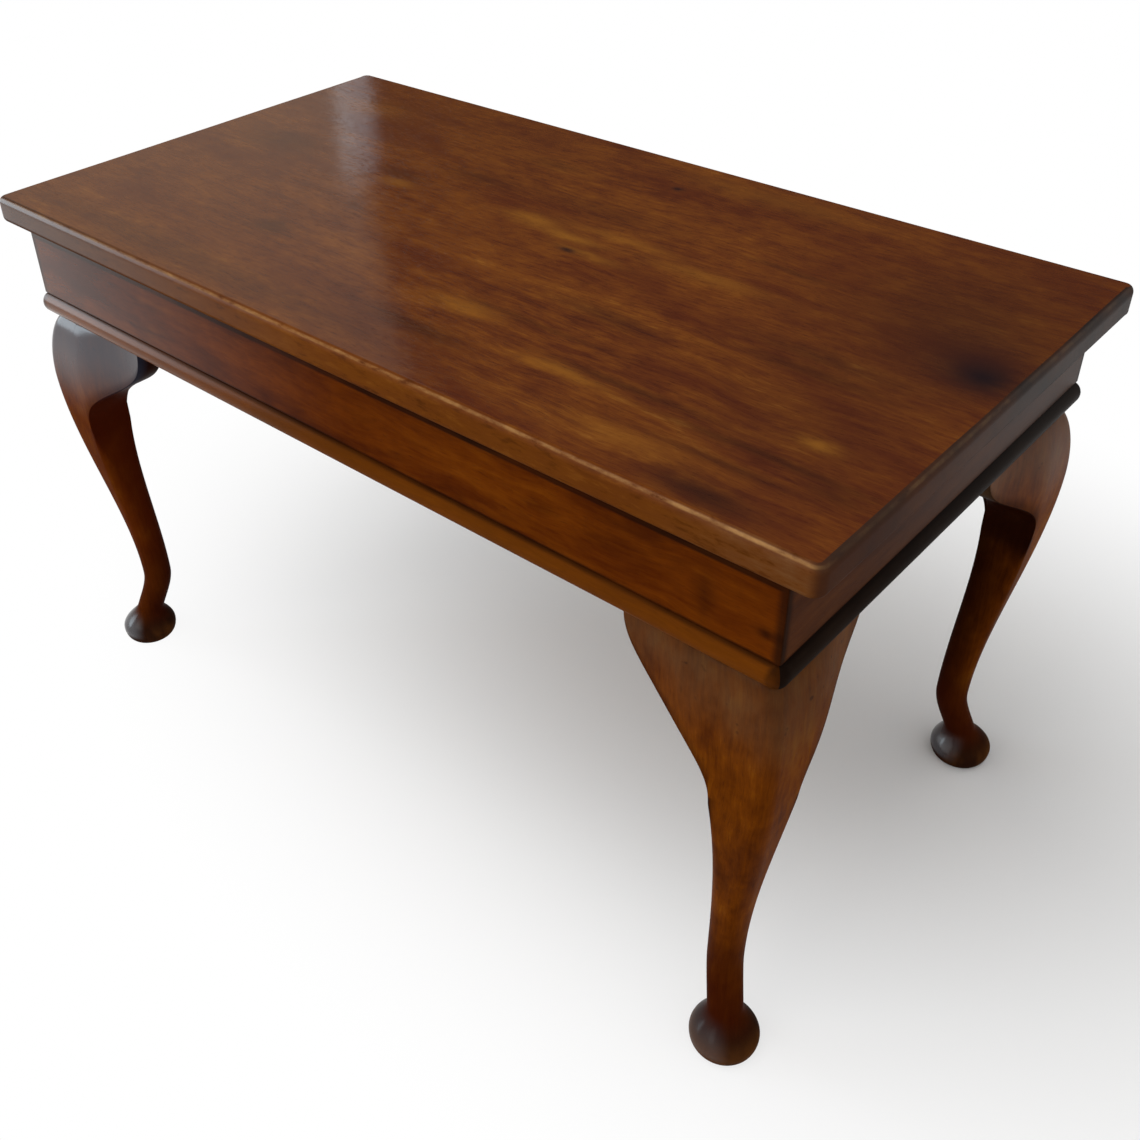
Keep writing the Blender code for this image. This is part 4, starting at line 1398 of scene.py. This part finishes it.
def bare_finish(name, axis, seed, browns, gloss):
    """Bare planed wood: ramp of pale browns by grain shade, with pores and dull patches."""
    wood = grain(name, axis, seed)
    colour = mix(wood.pores * 0.3, ramp(wood.shade, BARE_PLACES, browns), tone(70, 46, 30))
    return polish(wood, colour, wood.bands * 0.5, gloss)


def brass_finish():
    """Old brass: bright metal mixed to brown tarnish by cloudy noise, rougher where it is brown."""
    metal = new_material("hinge_brass")
    x, y, z = parted(metal.place)
    cloud = noise(x * 160.0, y * 160.0, z * 160.0, 4.0, 0.6)
    scratch = noise(x * 90.0, y * 2600.0, z * 2600.0, 2.0)
    tarnish = (cloud + scratch * 0.3).step(-0.16, 0.20)
    height = scratch * 0.5 + cloud
    metal.place.fill(metal.shader, {
        "Base Color": mix(tarnish, tone(198, 158, 84), tone(120, 84, 42)),
        "Roughness": 0.28 + tarnish * 0.22 + scratch * 0.10,
        "Normal": height.node("Bump", (), {"Height": height, "Strength": 0.25, "Distance": 0.0001}),
        "Metallic": 1.0})
    return metal.material


planed = {"X": bare_finish("planed_wood_x", "X", 2.2, PLANED_X_BROWNS, 0.55),
          "Y": bare_finish("planed_wood_y", "Y", 5.6, PLANED_Y_BROWNS, 0.55)}
panel_finish = bare_finish("panel_wood", "X", 9.1, PANEL_BROWNS, 0.58)
brass = brass_finish()
for name, piece in dressed.items():
    if name.startswith("corner_block_"):
        piece.data.materials.append(planed["Y" if name.endswith("_end") else "X"])
    elif name in ("batten_left", "batten_right"):
        piece.data.materials.append(planed["Y"])
    elif name == "box_bottom":
        piece.data.materials.append(panel_finish)
    elif not piece.data.materials:
        piece.data.materials.append(brass)
finished = sum(bool(piece.data.materials) for piece in dressed.values())
print("pieces with a finish:", finished, "of", len(dressed))

# %% [markdown]
# ## Floor
#
# A wide pale floor carries the table's shadow and turns plain white away from it. A plane would do for the
# shape. A disc whose rings grow with distance has its points near the table. White light takes over from the
# matt surface with distance, but only for rays from the camera, from a mirror or through glass. To all other
# light it stays a matt pale floor.

# %% floor
FLOOR_RADIUS = 14.0
FLOOR_RINGS = 40
FLOOR_SIDES = 96
SHADOW_MIDDLE = (0.18, 0.22, 0.0)      # light from the front left throws it to the back right
SHADOW_SHAPE = (1.0, 1.5, 1.0)         # the shadow is longer than wide, as the table is
WHITE_FROM = (0.15, 0.95)              # distances over which the floor turns white


def floor_disc():
    """Floor: rings whose radius grows with the square of the ring's number, all at height 0."""
    radius = FLOOR_RADIUS * np.linspace(0.02, 1.0, FLOOR_RINGS)[:, None] ** 2
    angle = full_turn(FLOOR_SIDES)
    points = np.stack([radius * np.cos(angle), radius * np.sin(angle), 0.0 * radius * angle], -1)
    index = np.arange(FLOOR_RINGS * FLOOR_SIDES).reshape(FLOOR_RINGS, FLOOR_SIDES)
    faces = ring_quads(index)[:, ::-1].tolist() + [index[0].tolist()]
    return mesh_piece("floor", points.reshape(-1, 3), faces)


def shown_rays(start):
    """Rays that show the background: those from the camera, then those from mirrors or through glass."""
    camera_ray, mirror_ray, glass_ray = (start.node("LightPath", output=name) for name in (
        "Is Camera Ray", "Is Glossy Ray", "Is Transmission Ray"))
    return camera_ray, mirror_ray.most(glass_ray)


def floor_finish():
    """Floor: matt white that gives way to plain white light with distance, where rays show it."""
    ground = new_material("pale_floor")
    place = ground.place
    place.fill(ground.shader, {
        "Base Color": (0.92, 0.92, 0.92, 1.0), "Roughness": 0.9, "Specular IOR Level": 0.1})
    away = place.node("VectorMath", {"operation": "SUBTRACT"}, {0: place, 1: SHADOW_MIDDLE})
    away = place.node("VectorMath", {"operation": "MULTIPLY"}, {0: away, 1: SHADOW_SHAPE})
    distance = place.node("VectorMath", {"operation": "LENGTH"}, {0: away}, output="Value")
    direct, mirrored = shown_rays(place)
    far = distance.step(*WHITE_FROM) * direct.most(mirrored)
    glow = place.node("Emission", (), {"Strength": 1.0})
    matt = Wire(place.tree, ground.shader.outputs[0])
    both = place.node("MixShader", (), {0: far, 1: matt, 2: glow})
    place.fill(place.tree.nodes["Material Output"], {"Surface": both})
    return ground.material


floor = floor_disc()
floor.data.materials.append(floor_finish())
floor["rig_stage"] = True
print("floor:", len(floor.data.polygons), "faces")

# %% [markdown]
# ## Lights and surroundings
#
# A soft light stands overhead, a weaker one in front, a cool window at the left and a tall window at the
# back left. The last stands where the polished lid mirrors it towards the camera, so it lays a haze over the
# left part of the top, and a bright bar at its side draws a stripe along the haze's edge. The surroundings
# are white to the camera and in mirrors, and light the table less than that. Only one dark wall is left at
# the back left, because a polished top that mirrors white all over would lose its colour.

# %% lights and surroundings
ROOM_LIGHT = 0.58                      # how strongly the surroundings light the table
WALL_LIGHT = 0.03                      # strength of the dark wall
WALL_WAY = (-0.63, 0.63, 0.454)        # direction of the dark wall that the lid mirrors
WALL_EDGE = (0.62, 0.84)               # cosines of the angles at which the wall ends and is fully dark


def soft_light(name, place, aim, size, power, colour):
    """Rectangular light at a place, turned so that its face looks at the aim."""
    lamp = bpy.data.lights.new(name, "AREA")
    lamp.shape = "RECTANGLE"
    lamp.size, lamp.size_y = size
    lamp.energy = power
    lamp.color = colour
    back = unit(np.subtract(place, aim))
    level = unit(np.cross(UPRIGHT, back))
    return stand(name, lamp, place, (level, np.cross(back, level), back))


def surroundings():
    """World: white as shown, the room's light otherwise, and a dark wall where the angle to it is small."""
    world = bpy.data.worlds.new("studio")
    world.use_nodes = True
    way = Wire(world.node_tree).node("TexCoord", output="Generated")
    towards = way.node("VectorMath", {"operation": "DOT_PRODUCT"}, {0: way, 1: WALL_WAY}, output="Value")
    wall = towards.step(*WALL_EDGE)
    direct, mirrored = shown_rays(way)
    lit = ROOM_LIGHT + (WALL_LIGHT - ROOM_LIGHT) * wall
    strength = lit.most(mirrored * (1.0 + (WALL_LIGHT - 1.0) * wall)).most(direct)
    way.fill(world.node_tree.nodes["Background"], {"Color": (1.0, 1.0, 1.0, 1.0), "Strength": strength})
    return world


soft_light("key", (-0.6, -2.6, 2.4), (0.0, 0.0, 0.4), (2.2, 2.0), 16.0, (1.0, 0.97, 0.93))
soft_light("overhead", (-0.1, -0.3, 2.5), (0.0, 0.0, 0.4), (1.8, 1.4), 17.5, (1.0, 0.98, 0.95))
soft_light("side_window", (-2.6, -1.3, 1.15), (-0.3, -0.1, 0.35), (1.6, 1.5), 24.0, (0.76, 0.90, 1.0))
soft_light("back_window", (-2.39, 1.04, 1.80), (-0.2, 0.0, 0.5), (1.45, 2.2), 3.5, (1.0, 0.94, 0.80))
soft_light("window_bar", (-2.10, 1.65, 1.18), (-0.2, 0.0, 0.5), (0.100, 0.50), 0.110, (0.78, 0.90, 1.0))
bpy.context.scene.world = surroundings()
bpy.context.scene.view_settings.view_transform = "Standard"

# %% [markdown]
# ## Size
#
# The dressed table has to fill the same box as the imported model, no more. How much it has grown is printed.

# %% size and finish
low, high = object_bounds()
grown = (high - low) - (cad_high - cad_low)
print("grown by", [round(1000 * side, 3) for side in grown], "mm")
